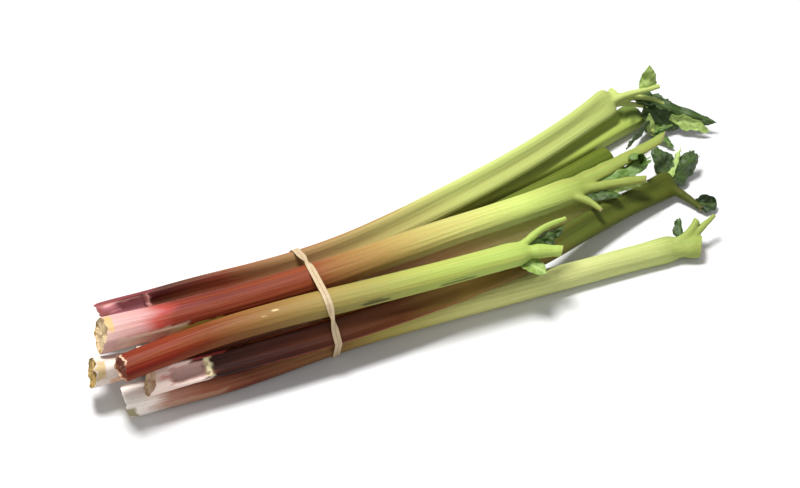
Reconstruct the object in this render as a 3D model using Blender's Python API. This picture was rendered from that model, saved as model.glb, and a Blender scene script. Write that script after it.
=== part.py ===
"""A bunch of trimmed rhubarb stalks, lying down and held by one rubber band.

Each stalk is one grown piece: a ribbed leaf stalk with a channel along one side, a flared
butt, and at the other end the stubs of the leaf's veins with scraps of the leaf on them.
+X runs from the butts to the leaf ends, +Y to the back and +Z up. The bunch rests on Z = 0.
Routes and sizes in the tables below are in millimetres.
"""

import math

import bmesh
import bpy
import numpy as np

MM = 0.001

# The skin of a stalk
RIBS = 9
RIB_SEGMENTS = 2 * RIBS  # a ridge and a groove for each rib
CHANNEL_SEGMENTS = 10
RIB_HEIGHT = 0.3
RIBBED_SHARE = 0.58  # of the thickness that lies on the ribbed side of the margins
CHANNEL_REACH = 0.52  # how far the channel spreads, as a share of the half width
CHANNEL_DEPTH = 2.2
SCOOP_DEPTH = 6.5
SCOOP_EDGE = 2.0  # over which the hollow begins and ends
CHANNEL_STARTS = 30.0  # the channel fades in over this length at the butt
CHANNEL_ENDS = 20.0  # and fades out over this length at the leaf end
CAP_DISH = 1.2  # how far the dried middle of a cut end has drawn in
CUT_REACH = 8.0  # how far from the end a slanting cut shifts the rings

# Where the rings of a stalk lie
RING_SPACING = 32.0
BUTT_RINGS = [0, 6, 14, 26]
LEAF_RINGS = [18, 8, 3, 0]

# How a stalk widens towards its butt and towards the leaf
BUTT_FLARE = 0.16
FLARE_LENGTH = 20.0
LEAF_SPREAD = 0.15
SPREAD_LENGTH = 24.0
CLOSE_LENGTH = 11.0  # over which the stalk rounds off where its veins part
CLOSE_SHARE = 0.84

# The leaf scraps
BLADE_THICKNESS = 0.8
TIP_BREADTH = 1.3  # half the breadth that a scrap keeps at its tip
BLADE_ROWS = 6
BLADE_COLUMNS = 5
VEIN_SIDES = 8

# The rubber band
BAND_X = -80.0
BAND_WIDTH = 5.6
BAND_THICKNESS = 1.2
BAND_GAP = 0.6
BAND_POINTS = 54
BAND_SWAY = 1.0  # how far the band wanders along the bunch
BAND_COLOUR = (0.72, 0.66, 0.52)
BAND_ROUGHNESS = 0.6
STALK_ROUGHNESS = 0.35

# The middle of the bunch's footprint, in the tables' millimetres, becomes the origin
MIDDLE = np.array((21.0, -5.5, 0.0))


class Stalk:
    """One stalk. Its width and thickness are given at the butt, the band and the leaf end."""

    def __init__(self, name, route, width, thickness, roll, colour, cut=0.0, scoop=None):
        self.name = name
        self.route = np.array(route, float)
        self.width = width
        self.thickness = thickness
        self.roll = roll  # degrees at butt and leaf end: 0 turns the channel up, -90 to the front
        self.cut = cut  # degrees that the top of the butt's cut leans towards the leaf end
        self.scoop = scoop  # where the hollow in the butt begins and ends
        self.colour = colour
        self.length = float(np.linalg.norm(np.diff(self.route, axis=0), axis=1).sum())


class Vein:
    """The stub of a vein: the points that it runs through, and its radius at either end."""

    def __init__(self, stalk, points, radii, flat=1.0):
        self.stalk = stalk
        self.points = np.array(points, float)
        self.radii = radii
        self.flat = flat  # its height as a share of its breadth


class Blade:
    """A scrap of leaf from a root on a vein to a tip, its sides spreading along across."""

    def __init__(
        self,
        stalk,
        root,
        tip,
        across,
        breadth,
        waves=2,
        wave=1.5,
        curl=40,
        sides=(-1, 1),
        point=2,
        blunt=0,
    ):
        self.stalk = stalk
        self.root = np.array(root, float)
        self.tip = np.array(tip, float)
        self.across = np.array(across, float)
        self.breadth = breadth
        self.waves = waves
        self.wave = wave
        self.curl = curl  # degrees that the blade bends over from its root line to its edge
        self.sides = sides
        self.point = point  # 2 narrows to a pointed tip, 5 stays broad for longer
        self.blunt = blunt  # the share of the breadth that is kept at the tip


STALKS = (
    Stalk(
        "stalk_back_top",
        route=((-214, 13, 30), (-150, 3, 34.5), (-80, -4, 35), (40, 17, 30), (130, 41, 28), (214, 72, 28)),
        width=(18, 21, 20),
        thickness=(14, 15, 14),
        roll=(-50, -45),
        cut=-35,
        scoop=(8, 28),
        colour=(0.42, 0.16, 0.08),
    ),
    Stalk(
        "stalk_middle_top",
        route=((-228, -18, 42), (-80, -27, 42), (24, -20, 37.5), (100, -11, 29), (150, -7, 28)),
        width=(24, 23, 21),
        thickness=(17, 16, 14),
        roll=(170, 180),
        cut=15,
        colour=(0.55, 0.17, 0.09),
    ),
    Stalk(
        "stalk_front_top",
        route=((-225, -55, 44.5), (-150, -50.5, 44.5), (-80, -54.5, 44), (0, -62, 44.5), (70, -66, 44)),
        width=(20, 21, 18),
        thickness=(15, 15, 14),
        roll=(190, 185),
        cut=10,
        colour=(0.5, 0.2, 0.08),
    ),
    Stalk(
        "stalk_core",
        route=((-240, -33, 27), (-80, -42, 27.5), (0, -27, 21), (80, -15, 11.5), (160, -8, 9.5)),
        width=(17, 17, 16),
        thickness=(16.5, 14, 13),
        roll=(20, 10),
        cut=10,
        colour=(0.4, 0.22, 0.1),
    ),
    Stalk(
        "stalk_front_side",
        route=(
            (-208, -59, 29),
            (-80, -67, 28.5),
            (25, -65, 29),
            (75, -57.5, 26.5),
            (130, -38.5, 18.5),
            (221, -14, 9.5),
        ),
        width=(16, 19, 18),
        thickness=(14, 13, 13),
        roll=(-45, -35),
        cut=15,
        scoop=(16, 39),
        colour=(0.3, 0.13, 0.06),
    ),
    Stalk(
        "stalk_front_floor",
        route=(
            (-224, -51, 8.6),
            (-165, -59, 8.8),
            (-80, -60, 10.4),
            (50, -66, 9.5),
            (120, -70, 8),
            (192, -75, 7.2),
        ),
        width=(20, 18, 18),
        thickness=(16, 15, 16),
        roll=(160, 150),
        cut=10,
        colour=(0.45, 0.35, 0.12),
    ),
    Stalk(
        "stalk_back_floor",
        route=((-196, 10, 7.5), (-80, -10, 12), (0, 13, 10.5), (133, 40, 9.5), (239, 70, 7)),
        width=(18, 20, 20),
        thickness=(15, 15, 16),
        roll=(10, 0),
        colour=(0.38, 0.4, 0.12),
    ),
    Stalk(
        "stalk_middle_floor",
        route=((-205, -18, 6.5), (-80, -35, 9.5), (0, -9, 9), (100, 13, 8.5), (190, 33, 7)),
        width=(18, 18, 17),
        thickness=(14, 14, 15),
        roll=(170, 180),
        colour=(0.4, 0.42, 0.14),
    ),
)

VEINS = (
    Vein("stalk_back_top", ((203, 67, 28), (216, 73, 31), (224, 75, 32)), (6.5, 4.5)),
    Vein("stalk_back_top", ((202, 66, 27), (218, 69, 30), (232, 65, 34), (249, 60, 38)), (4.5, 1.6)),
    Vein("stalk_back_top", ((206, 70, 25), (222, 70, 26), (238, 66, 26), (257, 53, 20)), (3.5, 1.4)),
    Vein("stalk_back_top", ((206, 71, 25), (226, 67, 23), (241, 60, 20)), (3.2, 1.6)),
    Vein("stalk_middle_top", ((132, -8, 28), (152, -3, 29.5), (180, 1, 32), (222, 8, 36)), (8.5, 1.6), 0.6),
    Vein("stalk_middle_top", ((138, -8, 28.5), (163, -16, 30), (190, -23, 31)), (4.5, 2.6)),
    Vein("stalk_middle_top", ((130, -9, 28), (138, -22, 29.5), (143.5, -37.5, 30)), (5.5, 2.8)),
    Vein("stalk_front_top", ((52, -65, 44), (72, -69, 44.5), (90, -76, 44)), (7.5, 4.6), 0.9),
    Vein("stalk_front_top", ((54, -64, 45), (66, -62, 47.5), (82, -58, 52), (102, -57, 54)), (4.2, 1.6)),
    Vein("stalk_core", ((148, -9, 9.5), (168, -10, 9)), (6, 4)),
    Vein("stalk_front_side", ((214, -16, 9), (222, -29, 6.5), (228, -44, 4)), (4.5, 2)),
    Vein("stalk_front_floor", ((180, -73, 8.5), (192, -79, 8), (204, -85, 7.5)), (9, 7.2), 0.9),
    Vein("stalk_front_floor", ((182, -75, 10), (200, -75, 13.5), (213, -71, 17.5), (222, -68, 20)), (6, 1.2)),
    Vein("stalk_front_floor", ((186, -75, 11), (200, -72, 16), (208, -67, 19.5)), (4.5, 2.6)),
    Vein("stalk_back_floor", ((232, 66, 8), (242, 57, 8), (236, 44, 7)), (4, 2.4)),
)

FACING = (0.0, -0.66, -0.75)  # across a blade that shows its face to someone in front and above

BLADES = (
    Blade("stalk_back_top", (240, 63, 34), (244, 67, 52), (1, -0.3, 0.1), 8, wave=0.6, curl=20),
    Blade("stalk_back_top", (240, 64, 25), (284, 32, 12), FACING, 14, 3, 2, 40, (-0.25, 1), point=3),
    Blade("stalk_back_top", (232, 68, 25), (258, 51, 18), (-0.5, -0.6, 0.2), 9, 3, 1.5, -40, point=4),
    Blade("stalk_back_top", (252, 55, 20), (276, 31, 10), (0.3, -0.6, -0.7), 7, 2, 1.2, -50, point=4),
    Blade("stalk_back_floor", (236, 45, 6), (236, 50, 22), (1, -0.2, 0), 4, wave=0.4, curl=20),
    Blade("stalk_back_floor", (240, 55, 7), (203, 27, 15), (0.4, -0.5, 0.7), 8, 3, 1.8, 50, point=4),
    Blade("stalk_back_floor", (238, 50, 6), (245, 26, 3), (1, 0, 0.2), 5, 2, 0.8, 30, point=3),
    Blade("stalk_middle_top", (146, -8, 29), (205, -4, 31.5), (0, -1, -0.1), 9, 2, 0.8, 20, point=3),
    Blade("stalk_middle_top", (190, -5, 27), (193, -13, 36), (1, 0.1, 0), 22, 0, 0, 250, (0, 1), 6, 0.8),
    Blade("stalk_middle_top", (146, -12, 29), (188, -24, 30.5), FACING, 6, 3, 1.2, 30, (0, 1), 4),
    Blade("stalk_middle_top", (140, -13, 28), (166, -27, 28), (0.5, -0.8, -0.1), 6, 2, 1, 30, point=3),
    Blade("stalk_front_top", (64, -64, 46), (98, -60, 50), (0.2, -0.8, -0.5), 9, 4, 1.6, 40, (-0.2, 1), 4),
    Blade("stalk_front_top", (60, -67, 41), (73, -84, 37), (1, 0.2, 0), 7, 1, 0.5, 15, point=5),
    Blade("stalk_front_side", (214, -14, 12), (236, 4, 22), (0.9, -0.3, 0.3), 4, 1, 0.5, 50),
    Blade("stalk_front_side", (220, -14, 10), (222, 18, 20), (1, -0.1, 0.2), 8, 2, 1.5, 40, point=3),
    Blade("stalk_front_side", (218, -15, 11), (250, 0, 17), (0.4, -0.6, -0.6), 10, 2, 1.8, 40, (-0.6, 1), 4),
    Blade("stalk_front_side", (226, -38, 5), (240, -45, 5), (0.3, 0.8, 0.5), 8, 2, 1.3, 50, point=5),
    Blade("stalk_front_floor", (190, -75, 14), (196, -61, 23), (1, 0, 0.2), 4.5, 2, 1.2, 40, point=5),
)


def place_in_scene(point):
    return (np.array(point) - MIDDLE) * MM


def smooth(share):
    share = np.clip(share, 0, 1)
    return share * share * (3 - 2 * share)


def spline_slopes(knots, values):
    """The slopes at the knots of the smoothest curve through the values, with free ends."""
    steps = np.diff(knots)
    rises = np.diff(values, axis=0) / steps[:, None]
    count = len(knots)
    matrix = np.zeros((count, count))
    right = np.zeros(values.shape)
    matrix[0, :2] = 2, 1
    matrix[-1, -2:] = 1, 2
    right[0] = 3 * rises[0]
    right[-1] = 3 * rises[-1]
    for i in range(1, count - 1):
        matrix[i, i - 1] = steps[i]
        matrix[i, i] = 2 * (steps[i - 1] + steps[i])
        matrix[i, i + 1] = steps[i - 1]
        right[i] = 3 * (steps[i] * rises[i - 1] + steps[i - 1] * rises[i])
    return np.linalg.solve(matrix, right)


def along(points, at):
    """Places and headings at distances along the smooth curve through the points."""
    knots = np.r_[0, np.cumsum(np.linalg.norm(np.diff(points, axis=0), axis=1))]
    slopes = spline_slopes(knots, points)
    piece = np.clip(np.searchsorted(knots, at, "right") - 1, 0, len(knots) - 2)
    step = (knots[piece + 1] - knots[piece])[:, None]
    t = (at - knots[piece])[:, None] / step
    first, last = points[piece], points[piece + 1]
    leave, arrive = slopes[piece] * step, slopes[piece + 1] * step
    place = first * (1 + t * t * (2 * t - 3)) + leave * t * (t - 1) ** 2
    place = place + last * t * t * (3 - 2 * t) + arrive * t * t * (t - 1)
    heading = 6 * (last - first) * t * (1 - t) + leave * (1 - t) * (1 - 3 * t)
    heading = heading + arrive * t * (3 * t - 2)
    return place, heading / np.linalg.norm(heading, axis=1)[:, None]


def section(width, thickness, channel):
    """The outline across a stalk, as points (sideways, outwards on the channel's side)."""
    turn = np.linspace(0, math.pi, CHANNEL_SEGMENTS, endpoint=False)
    side = 0.5 * width * np.cos(turn)
    dip = channel * np.exp(-((np.cos(turn) / CHANNEL_REACH) ** 2))
    top = (1 - RIBBED_SHARE) * thickness * np.sqrt(np.sin(turn)) - dip
    turn = np.linspace(0, math.pi, RIB_SEGMENTS, endpoint=False)
    rib = RIB_HEIGHT * np.cos(2 * RIBS * turn) * np.clip(4 * np.sin(turn), 0, 1)
    round_side = -(0.5 * width + rib) * np.cos(turn)
    bottom = -(RIBBED_SHARE * thickness + rib) * np.sin(turn)
    return np.c_[np.r_[side, round_side], np.r_[top, bottom]]


def distance_at(stalk, x):
    """How far along a stalk it crosses the plane at x."""
    at = np.linspace(0, stalk.length, 800)
    return at[np.argmin(np.abs(along(stalk.route, at)[0][:, 0] - x))]


def ring_places(stalk):
    """Where the rings lie along a stalk: closest at the butt, the hollow and the leaf end."""
    marks = list(BUTT_RINGS)
    if stalk.scoop:
        start, end = stalk.scoop
        marks += [start - SCOOP_EDGE, start + SCOOP_EDGE, end - SCOOP_EDGE, end + SCOOP_EDGE]
    leaf_marks = [stalk.length - mark for mark in LEAF_RINGS]
    stretches = (max(marks), distance_at(stalk, BAND_X), leaf_marks[0])
    for start, end in zip(stretches, stretches[1:]):
        count = round((end - start) / RING_SPACING)
        marks += list(np.linspace(start, end, count + 1)[1:])
    return np.unique(np.round(np.r_[marks, leaf_marks], 3))


def frame_across(heading, roll):
    """The directions across a stalk and out through its channel, for a heading and a roll."""
    up = np.array((0, 0, 1.0)) - heading[2] * heading
    up /= np.linalg.norm(up)
    side = np.cross(up, heading)
    outward = math.cos(roll) * up + math.sin(roll) * side
    return np.cross(outward, heading), outward


def stalk_rings(stalk, at):
    """The outlines across a stalk at distances from its butt."""
    place, heading = along(stalk.route, at)
    start, end = stalk.route[0, 0], stalk.route[-1, 0]
    marks = (start, BAND_X, end)
    width = np.interp(place[:, 0], marks, stalk.width)
    thickness = np.interp(place[:, 0], marks, stalk.thickness)
    roll = np.radians(np.interp(at, (0, stalk.length), stalk.roll))
    to_end = stalk.length - at
    swell = 1 + BUTT_FLARE * np.exp(-((at / FLARE_LENGTH) ** 2))
    spread = 1 + LEAF_SPREAD * np.exp(-((to_end / SPREAD_LENGTH) ** 2))
    close = np.sqrt(1 - CLOSE_SHARE * (1 - np.clip(to_end / CLOSE_LENGTH, 0, 1)) ** 3)
    channel = CHANNEL_DEPTH * smooth(at / CHANNEL_STARTS) * smooth(to_end / CHANNEL_ENDS)
    if stalk.scoop:
        begin = smooth((at - stalk.scoop[0]) / SCOOP_EDGE / 2 + 0.5)
        finish = smooth((stalk.scoop[1] - at) / SCOOP_EDGE / 2 + 0.5)
        channel = np.maximum(channel, SCOOP_DEPTH * begin * finish)
    lean = math.tan(math.radians(stalk.cut)) * np.exp(-((at / CUT_REACH) ** 2))
    rings = []
    for i in range(len(at)):
        across, outward = frame_across(heading[i], roll[i])
        size = swell[i] * close[i]
        flat = section(width[i] * size * spread[i], thickness[i] * size, channel[i] * close[i])
        ring = place[i] + flat[:, :1] * across + flat[:, 1:] * outward
        ring = ring + lean[i] * (ring[:, 2:] - place[i, 2]) * heading[i]
        ring[:, 2] = np.maximum(ring[:, 2], 0.0)
        rings.append(ring)
    return rings


def loft(name, rings, dish=0.0):
    """A closed mesh through rings of equal count. The first end's middle is drawn in by dish."""
    mesh = bmesh.new()
    rows = [[mesh.verts.new(place_in_scene(point)) for point in ring] for ring in rings]
    count = len(rings[0])
    for first, second in zip(rows, rows[1:]):
        for i in range(count):
            j = (i + 1) % count
            mesh.faces.new((first[i], first[j], second[j], second[i]))
    inward = rings[1].mean(axis=0) - rings[0].mean(axis=0)
    inward *= dish / np.linalg.norm(inward)
    for row, ring, shift in ((rows[0], rings[0], inward), (rows[-1], rings[-1], 0 * inward)):
        middle = mesh.verts.new(place_in_scene(ring.mean(axis=0) + shift))
        for i in range(count):
            mesh.faces.new((row[i], row[(i + 1) % count], middle))
    return finish_mesh(name, mesh)


def finish_mesh(name, mesh):
    """Triangulates a mesh, turns its faces outwards and puts it in the scene."""
    bmesh.ops.triangulate(mesh, faces=mesh.faces)
    bmesh.ops.recalc_face_normals(mesh, faces=mesh.faces)
    data = bpy.data.meshes.new(name)
    mesh.to_mesh(data)
    mesh.free()
    obj = bpy.data.objects.new(name, data)
    bpy.context.scene.collection.objects.link(obj)
    return obj


def vein_object(vein):
    """A vein's stub: a tapered tube with a rounded end."""
    length = np.linalg.norm(np.diff(vein.points, axis=0), axis=1).sum()
    at = np.array((0, 0.3, 0.6, 0.92, 1.0)) * length
    place, heading = along(vein.points, at)
    radius = np.interp(at, (0, length), vein.radii)
    radius[-1] *= 0.7
    turns = np.linspace(0, 2 * math.pi, VEIN_SIDES, endpoint=False)
    rings = []
    for i in range(len(at)):
        across, outward = frame_across(heading[i], 0.0)
        ring = place[i] + radius[i] * np.cos(turns)[:, None] * across
        ring = ring + vein.flat * radius[i] * np.sin(turns)[:, None] * outward
        ring[:, 2] = np.maximum(ring[:, 2], 0.0)
        rings.append(ring)
    return loft("vein", rings)


def blade_surface(blade, lift):
    """A grid of points on a blade's face, lifted off its middle surface along the normal."""
    u = np.linspace(0, 1, BLADE_ROWS)[:, None]
    v = np.linspace(blade.sides[0], blade.sides[1], BLADE_COLUMNS)[None, :]
    stem = blade.tip - blade.root
    stem /= np.linalg.norm(stem)
    across = blade.across - (blade.across @ stem) * stem
    across /= np.linalg.norm(across)
    normal = np.cross(stem, across)
    lobes = 1 + 0.22 * np.cos(2 * math.pi * blade.waves * u + 1.0)
    taper = np.clip(1 - u**blade.point, 0, 1) ** 0.7 * (0.5 + 0.5 * smooth(3 * u))
    taper = np.maximum(taper, max(blade.blunt, TIP_BREADTH / blade.breadth))
    breadth = blade.breadth * taper * lobes
    bend = math.radians(blade.curl) * v * np.minimum(1, 3 * taper)
    turned = np.where(np.abs(bend) < 1e-6, 1e-6, bend)
    sideways = breadth * v * np.sin(turned) / turned
    raised = breadth * v * (1 - np.cos(turned)) / turned
    ripple = blade.wave * taper * np.abs(v) ** 1.5 * np.sin(2 * math.pi * blade.waves * u + 2 * v)
    points = blade.root + u[..., None] * (blade.tip - blade.root)
    points = points + sideways[..., None] * across + (raised + ripple)[..., None] * normal
    facing_side = -np.sin(turned) * np.ones_like(u)
    facing_up = np.cos(turned) * np.ones_like(u)
    facing = facing_side[..., None] * across + facing_up[..., None] * normal
    return points + lift * facing


def blade_object(blade):
    """A scrap of leaf: two like waved faces joined by a wall round their edge."""
    mesh = bmesh.new()
    upper = blade_surface(blade, BLADE_THICKNESS / 2)
    lower = blade_surface(blade, -BLADE_THICKNESS / 2)
    lower[..., 2] = np.maximum(lower[..., 2], 0.0)
    upper[..., 2] = np.maximum(upper[..., 2], BLADE_THICKNESS)
    top = [[mesh.verts.new(place_in_scene(point)) for point in row] for row in upper]
    bottom = [[mesh.verts.new(place_in_scene(point)) for point in row] for row in lower]
    for i in range(BLADE_ROWS - 1):
        for j in range(BLADE_COLUMNS - 1):
            for sheet, turn in ((top, 1), (bottom, -1)):
                a, b, c, d = sheet[i][j], sheet[i + 1][j], sheet[i + 1][j + 1], sheet[i][j + 1]
                mesh.faces.new((a, b, c)[::turn])
                mesh.faces.new((a, c, d)[::turn])
    edge = [(i, 0) for i in range(BLADE_ROWS)]
    edge += [(BLADE_ROWS - 1, j) for j in range(1, BLADE_COLUMNS)]
    edge += [(i, BLADE_COLUMNS - 1) for i in range(BLADE_ROWS - 2, -1, -1)]
    edge += [(0, j) for j in range(BLADE_COLUMNS - 2, 0, -1)]
    for (i, j), (k, m) in zip(edge, edge[1:] + edge[:1]):
        mesh.faces.new((top[i][j], top[k][m], bottom[k][m], bottom[i][j]))
    return finish_mesh("blade", mesh)


def join(body, pieces):
    """Joins the pieces to the body with one Boolean union, and removes them."""
    group = bpy.data.collections.new("grown_pieces")
    bpy.context.scene.collection.children.link(group)
    for piece in pieces:
        bpy.context.scene.collection.objects.unlink(piece)
        group.objects.link(piece)
    union = body.modifiers.new("union", "BOOLEAN")
    union.operation = "UNION"
    union.operand_type = "COLLECTION"
    union.collection = group
    union.solver = "EXACT"
    union.use_self = True
    bpy.context.view_layer.update()
    whole = bpy.data.meshes.new_from_object(body.evaluated_get(bpy.context.evaluated_depsgraph_get()))
    body.modifiers.remove(union)
    body.data = whole
    for piece in pieces:
        bpy.data.objects.remove(piece)
    bpy.data.collections.remove(group)


def convex_outline(points):
    """The corners of the tightest loop round a set of flat points, anticlockwise."""
    points = sorted(set(map(tuple, points)))
    loop = []
    for run in (points, points[::-1]):
        start = len(loop)
        for p in run:
            while len(loop) >= start + 2:
                (ay, az), (by, bz) = loop[-2], loop[-1]
                if (by - ay) * (p[1] - az) > (bz - az) * (p[0] - ay):
                    break
                loop.pop()
            loop.append(p)
        loop.pop()
    return np.array(loop)


def bundle_outline():
    """The loop that a tight band makes round the stalks, as (y, z) corners."""
    reach = BAND_WIDTH / 2 + BAND_SWAY
    points = []
    for stalk in STALKS:
        near = [distance_at(stalk, BAND_X + shift) for shift in (-reach, 0, reach)]
        for ring in stalk_rings(stalk, np.array(near)):
            points.extend(map(tuple, ring[:, 1:]))
    return convex_outline(points)


def rubber_band():
    """A flat band stretched round the bunch, a hair clear of every stalk."""
    corners = bundle_outline()
    half_width, half_thickness = BAND_WIDTH / 2, BAND_THICKNESS / 2
    profile = (
        (-half_width, 0),
        (-half_width + half_thickness, half_thickness),
        (half_width - half_thickness, half_thickness),
        (half_width, 0),
        (half_width - half_thickness, -half_thickness),
        (-half_width + half_thickness, -half_thickness),
    )
    mesh = bmesh.new()
    rows = []
    for turn in np.linspace(0, 2 * math.pi, BAND_POINTS, endpoint=False):
        outward = np.array((math.cos(turn), math.sin(turn)))
        corner = corners[np.argmax(corners @ outward)]
        row = []
        for along_x, lift in profile:
            y, z = corner + (BAND_GAP + half_thickness + lift) * outward
            x = BAND_X + along_x + BAND_SWAY * math.sin(2 * turn)
            row.append(mesh.verts.new(place_in_scene((x, y, z))))
        rows.append(row)
    count = len(profile)
    for first, second in zip(rows, rows[1:] + rows[:1]):
        for i in range(count):
            j = (i + 1) % count
            mesh.faces.new((first[i], first[j], second[j], second[i]))
    return finish_mesh("rubber_band", mesh)


def set_material(obj, colour, roughness):
    material = bpy.data.materials.new(obj.name)
    material.use_nodes = True
    shader = material.node_tree.nodes["Principled BSDF"]
    shader.inputs["Base Color"].default_value = (*colour, 1)
    shader.inputs["Roughness"].default_value = roughness
    shader.inputs["Metallic"].default_value = 0
    obj.data.materials.clear()
    obj.data.materials.append(material)
    obj.data.shade_smooth()
    obj.data.set_sharp_from_angle(angle=math.radians(50))


def grow_stalk(stalk):
    """A stalk with its vein stubs and leaf scraps, as one solid."""
    body = loft(stalk.name, stalk_rings(stalk, ring_places(stalk)), CAP_DISH)
    pieces = [vein_object(vein) for vein in VEINS if vein.stalk == stalk.name]
    pieces += [blade_object(blade) for blade in BLADES if blade.stalk == stalk.name]
    if pieces:
        join(body, pieces)
    set_material(body, stalk.colour, STALK_ROUGHNESS)


def main():
    for obj in list(bpy.data.objects):
        bpy.data.objects.remove(obj)
    for stalk in STALKS:
        grow_stalk(stalk)
    set_material(rubber_band(), BAND_COLOUR, BAND_ROUGHNESS)


main()
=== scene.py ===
"""Dresses the tied bunch of trimmed rhubarb, in the order in which it is laid down and tied.

Routes and sizes are in millimetres, measured from a point near the middle of the bunch, +X
towards the leaves, +Y to the back and +Z up from the table.
"""

import math

import bmesh
import bpy
import numpy as np
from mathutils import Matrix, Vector
from mathutils.kdtree import KDTree


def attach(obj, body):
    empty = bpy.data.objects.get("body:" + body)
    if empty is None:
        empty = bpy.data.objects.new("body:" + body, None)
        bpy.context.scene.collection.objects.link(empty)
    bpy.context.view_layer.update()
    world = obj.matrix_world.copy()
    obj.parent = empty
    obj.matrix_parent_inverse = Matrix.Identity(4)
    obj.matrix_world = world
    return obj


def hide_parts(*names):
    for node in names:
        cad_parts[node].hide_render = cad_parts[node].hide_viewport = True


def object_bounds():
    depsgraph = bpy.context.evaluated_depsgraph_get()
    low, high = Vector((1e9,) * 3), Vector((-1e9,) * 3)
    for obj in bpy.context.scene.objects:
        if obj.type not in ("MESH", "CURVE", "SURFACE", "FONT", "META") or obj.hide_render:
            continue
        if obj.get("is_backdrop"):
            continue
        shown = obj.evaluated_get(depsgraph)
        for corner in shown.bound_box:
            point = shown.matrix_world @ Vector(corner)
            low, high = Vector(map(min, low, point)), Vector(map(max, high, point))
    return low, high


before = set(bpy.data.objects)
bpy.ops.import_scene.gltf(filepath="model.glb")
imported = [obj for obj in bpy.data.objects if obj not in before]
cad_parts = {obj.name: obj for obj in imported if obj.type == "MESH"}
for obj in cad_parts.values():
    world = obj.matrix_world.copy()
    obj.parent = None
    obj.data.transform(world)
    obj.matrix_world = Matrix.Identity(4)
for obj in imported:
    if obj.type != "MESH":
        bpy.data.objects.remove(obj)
cad_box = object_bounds()


# The middle stalk of the bottom layer. Rhubarb's leaf stalk is solid and juicy, round and ribbed
# on its outer side and hollowed along the inner one. It is pulled from the crown, and the knife
# trims its base and cuts the leaf off straight, so both ends show the wet, fibrous flesh.

MIDDLE_OF_BUNCH = np.array((21.0, -5.5, 0.0))
BAND_X = -80.0


def in_metres(points):
    return (np.array(points, float) - MIDDLE_OF_BUNCH) * 0.001


def spline_slopes(knots, values):
    """The slopes at the knots of the smoothest curve through the values, with free ends."""
    steps = np.diff(knots)
    rises = np.diff(values, axis=0) / steps[:, None]
    count = len(knots)
    matrix = np.zeros((count, count))
    right = np.zeros(values.shape)
    matrix[0, :2] = 2, 1
    matrix[-1, -2:] = 1, 2
    right[0] = 3 * rises[0]
    right[-1] = 3 * rises[-1]
    for i in range(1, count - 1):
        matrix[i, i - 1] = steps[i]
        matrix[i, i] = 2 * (steps[i - 1] + steps[i])
        matrix[i, i + 1] = steps[i - 1]
        right[i] = 3 * (steps[i] * rises[i - 1] + steps[i - 1] * rises[i])
    return np.linalg.solve(matrix, right)


def smooth_route(points, count):
    """Evenly spaced points along the smooth curve through a few points."""
    points = np.array(points, float)
    knots = np.r_[0, np.cumsum(np.linalg.norm(np.diff(points, axis=0), axis=1))]
    slopes = spline_slopes(knots, points)
    at = np.linspace(0, knots[-1], count)
    piece = np.clip(np.searchsorted(knots, at, "right") - 1, 0, len(knots) - 2)
    step = (knots[piece + 1] - knots[piece])[:, None]
    t = (at - knots[piece])[:, None] / step
    first, last = points[piece], points[piece + 1]
    leave, arrive = slopes[piece] * step, slopes[piece + 1] * step
    place = first * (1 + t * t * (2 * t - 3)) + leave * t * (t - 1) ** 2
    return place + last * t * t * (3 - 2 * t) + arrive * t * t * (t - 1)


def feed(tree, socket, value):
    """Fills a node's input by a link or by a plain value, and leaves it alone for None."""
    if isinstance(value, bpy.types.NodeSocket):
        tree.links.new(value, socket)
    elif value is not None:
        socket.default_value = value


class Wiring:
    """A geometry node tree that is wired up one sum at a time."""

    def __init__(self, name, sizes):
        self.tree = bpy.data.node_groups.new(name, "GeometryNodeTree")
        sockets = self.tree.interface
        sockets.new_socket("Geometry", in_out="INPUT", socket_type="NodeSocketGeometry")
        for label in sizes:
            kind = "NodeSocketMaterial" if label == "Material" else "NodeSocketFloat"
            sockets.new_socket(label, in_out="INPUT", socket_type=kind)
        sockets.new_socket("Geometry", in_out="OUTPUT", socket_type="NodeSocketGeometry")
        self.inputs = self.tree.nodes.new("NodeGroupInput").outputs
        self.output = self.tree.nodes.new("NodeGroupOutput").inputs[0]

    def add(self, kind, *values, **settings):
        node = self.tree.nodes.new(kind)
        for key, value in settings.items():
            setattr(node, key, value)
        for socket, value in zip(node.inputs, values):
            feed(self.tree, socket, value)
        return node

    def sum(self, operation, *values):
        return self.add("ShaderNodeMath", *values, operation=operation).outputs[0]

    def times(self, first, second):
        return self.sum("MULTIPLY", first, second)

    def plus(self, first, second):
        return self.sum("ADD", first, second)

    def minus(self, first, second):
        return self.sum("SUBTRACT", first, second)

    def vector(self, operation, *values):
        return self.add("ShaderNodeVectorMath", *values, operation=operation).outputs[0]

    def scale(self, vector, by):
        node = self.add("ShaderNodeVectorMath", vector, operation="SCALE")
        feed(self.tree, node.inputs["Scale"], by)
        return node.outputs[0]

    def xyz(self, x, y, z):
        return self.add("ShaderNodeCombineXYZ", x, y, z).outputs[0]

    def split(self, vector):
        return self.add("ShaderNodeSeparateXYZ", vector).outputs

    def noise(self, place, scale, detail, roughness):
        return self.add("ShaderNodeTexNoise", place, None, scale, detail, roughness).outputs[0]

    def ramp(self, value, start, end, low=0.0, high=1.0, kind="LINEAR"):
        """Takes value's span from start to end over to low and high, and stops there."""
        node = self.add("ShaderNodeMapRange", value, start, end, low, high, interpolation_type=kind)
        return node.outputs[0]

    def finish(self, geometry):
        """Names the material and ends the tree with real faces."""
        real = self.add("GeometryNodeRealizeInstances", geometry).outputs[0]
        smooth = self.add("GeometryNodeSetShadeSmooth", real).outputs[0]
        skinned = self.add("GeometryNodeSetMaterial", smooth, None, self.inputs["Material"])
        self.tree.links.new(skinned.outputs[0], self.output)


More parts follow.
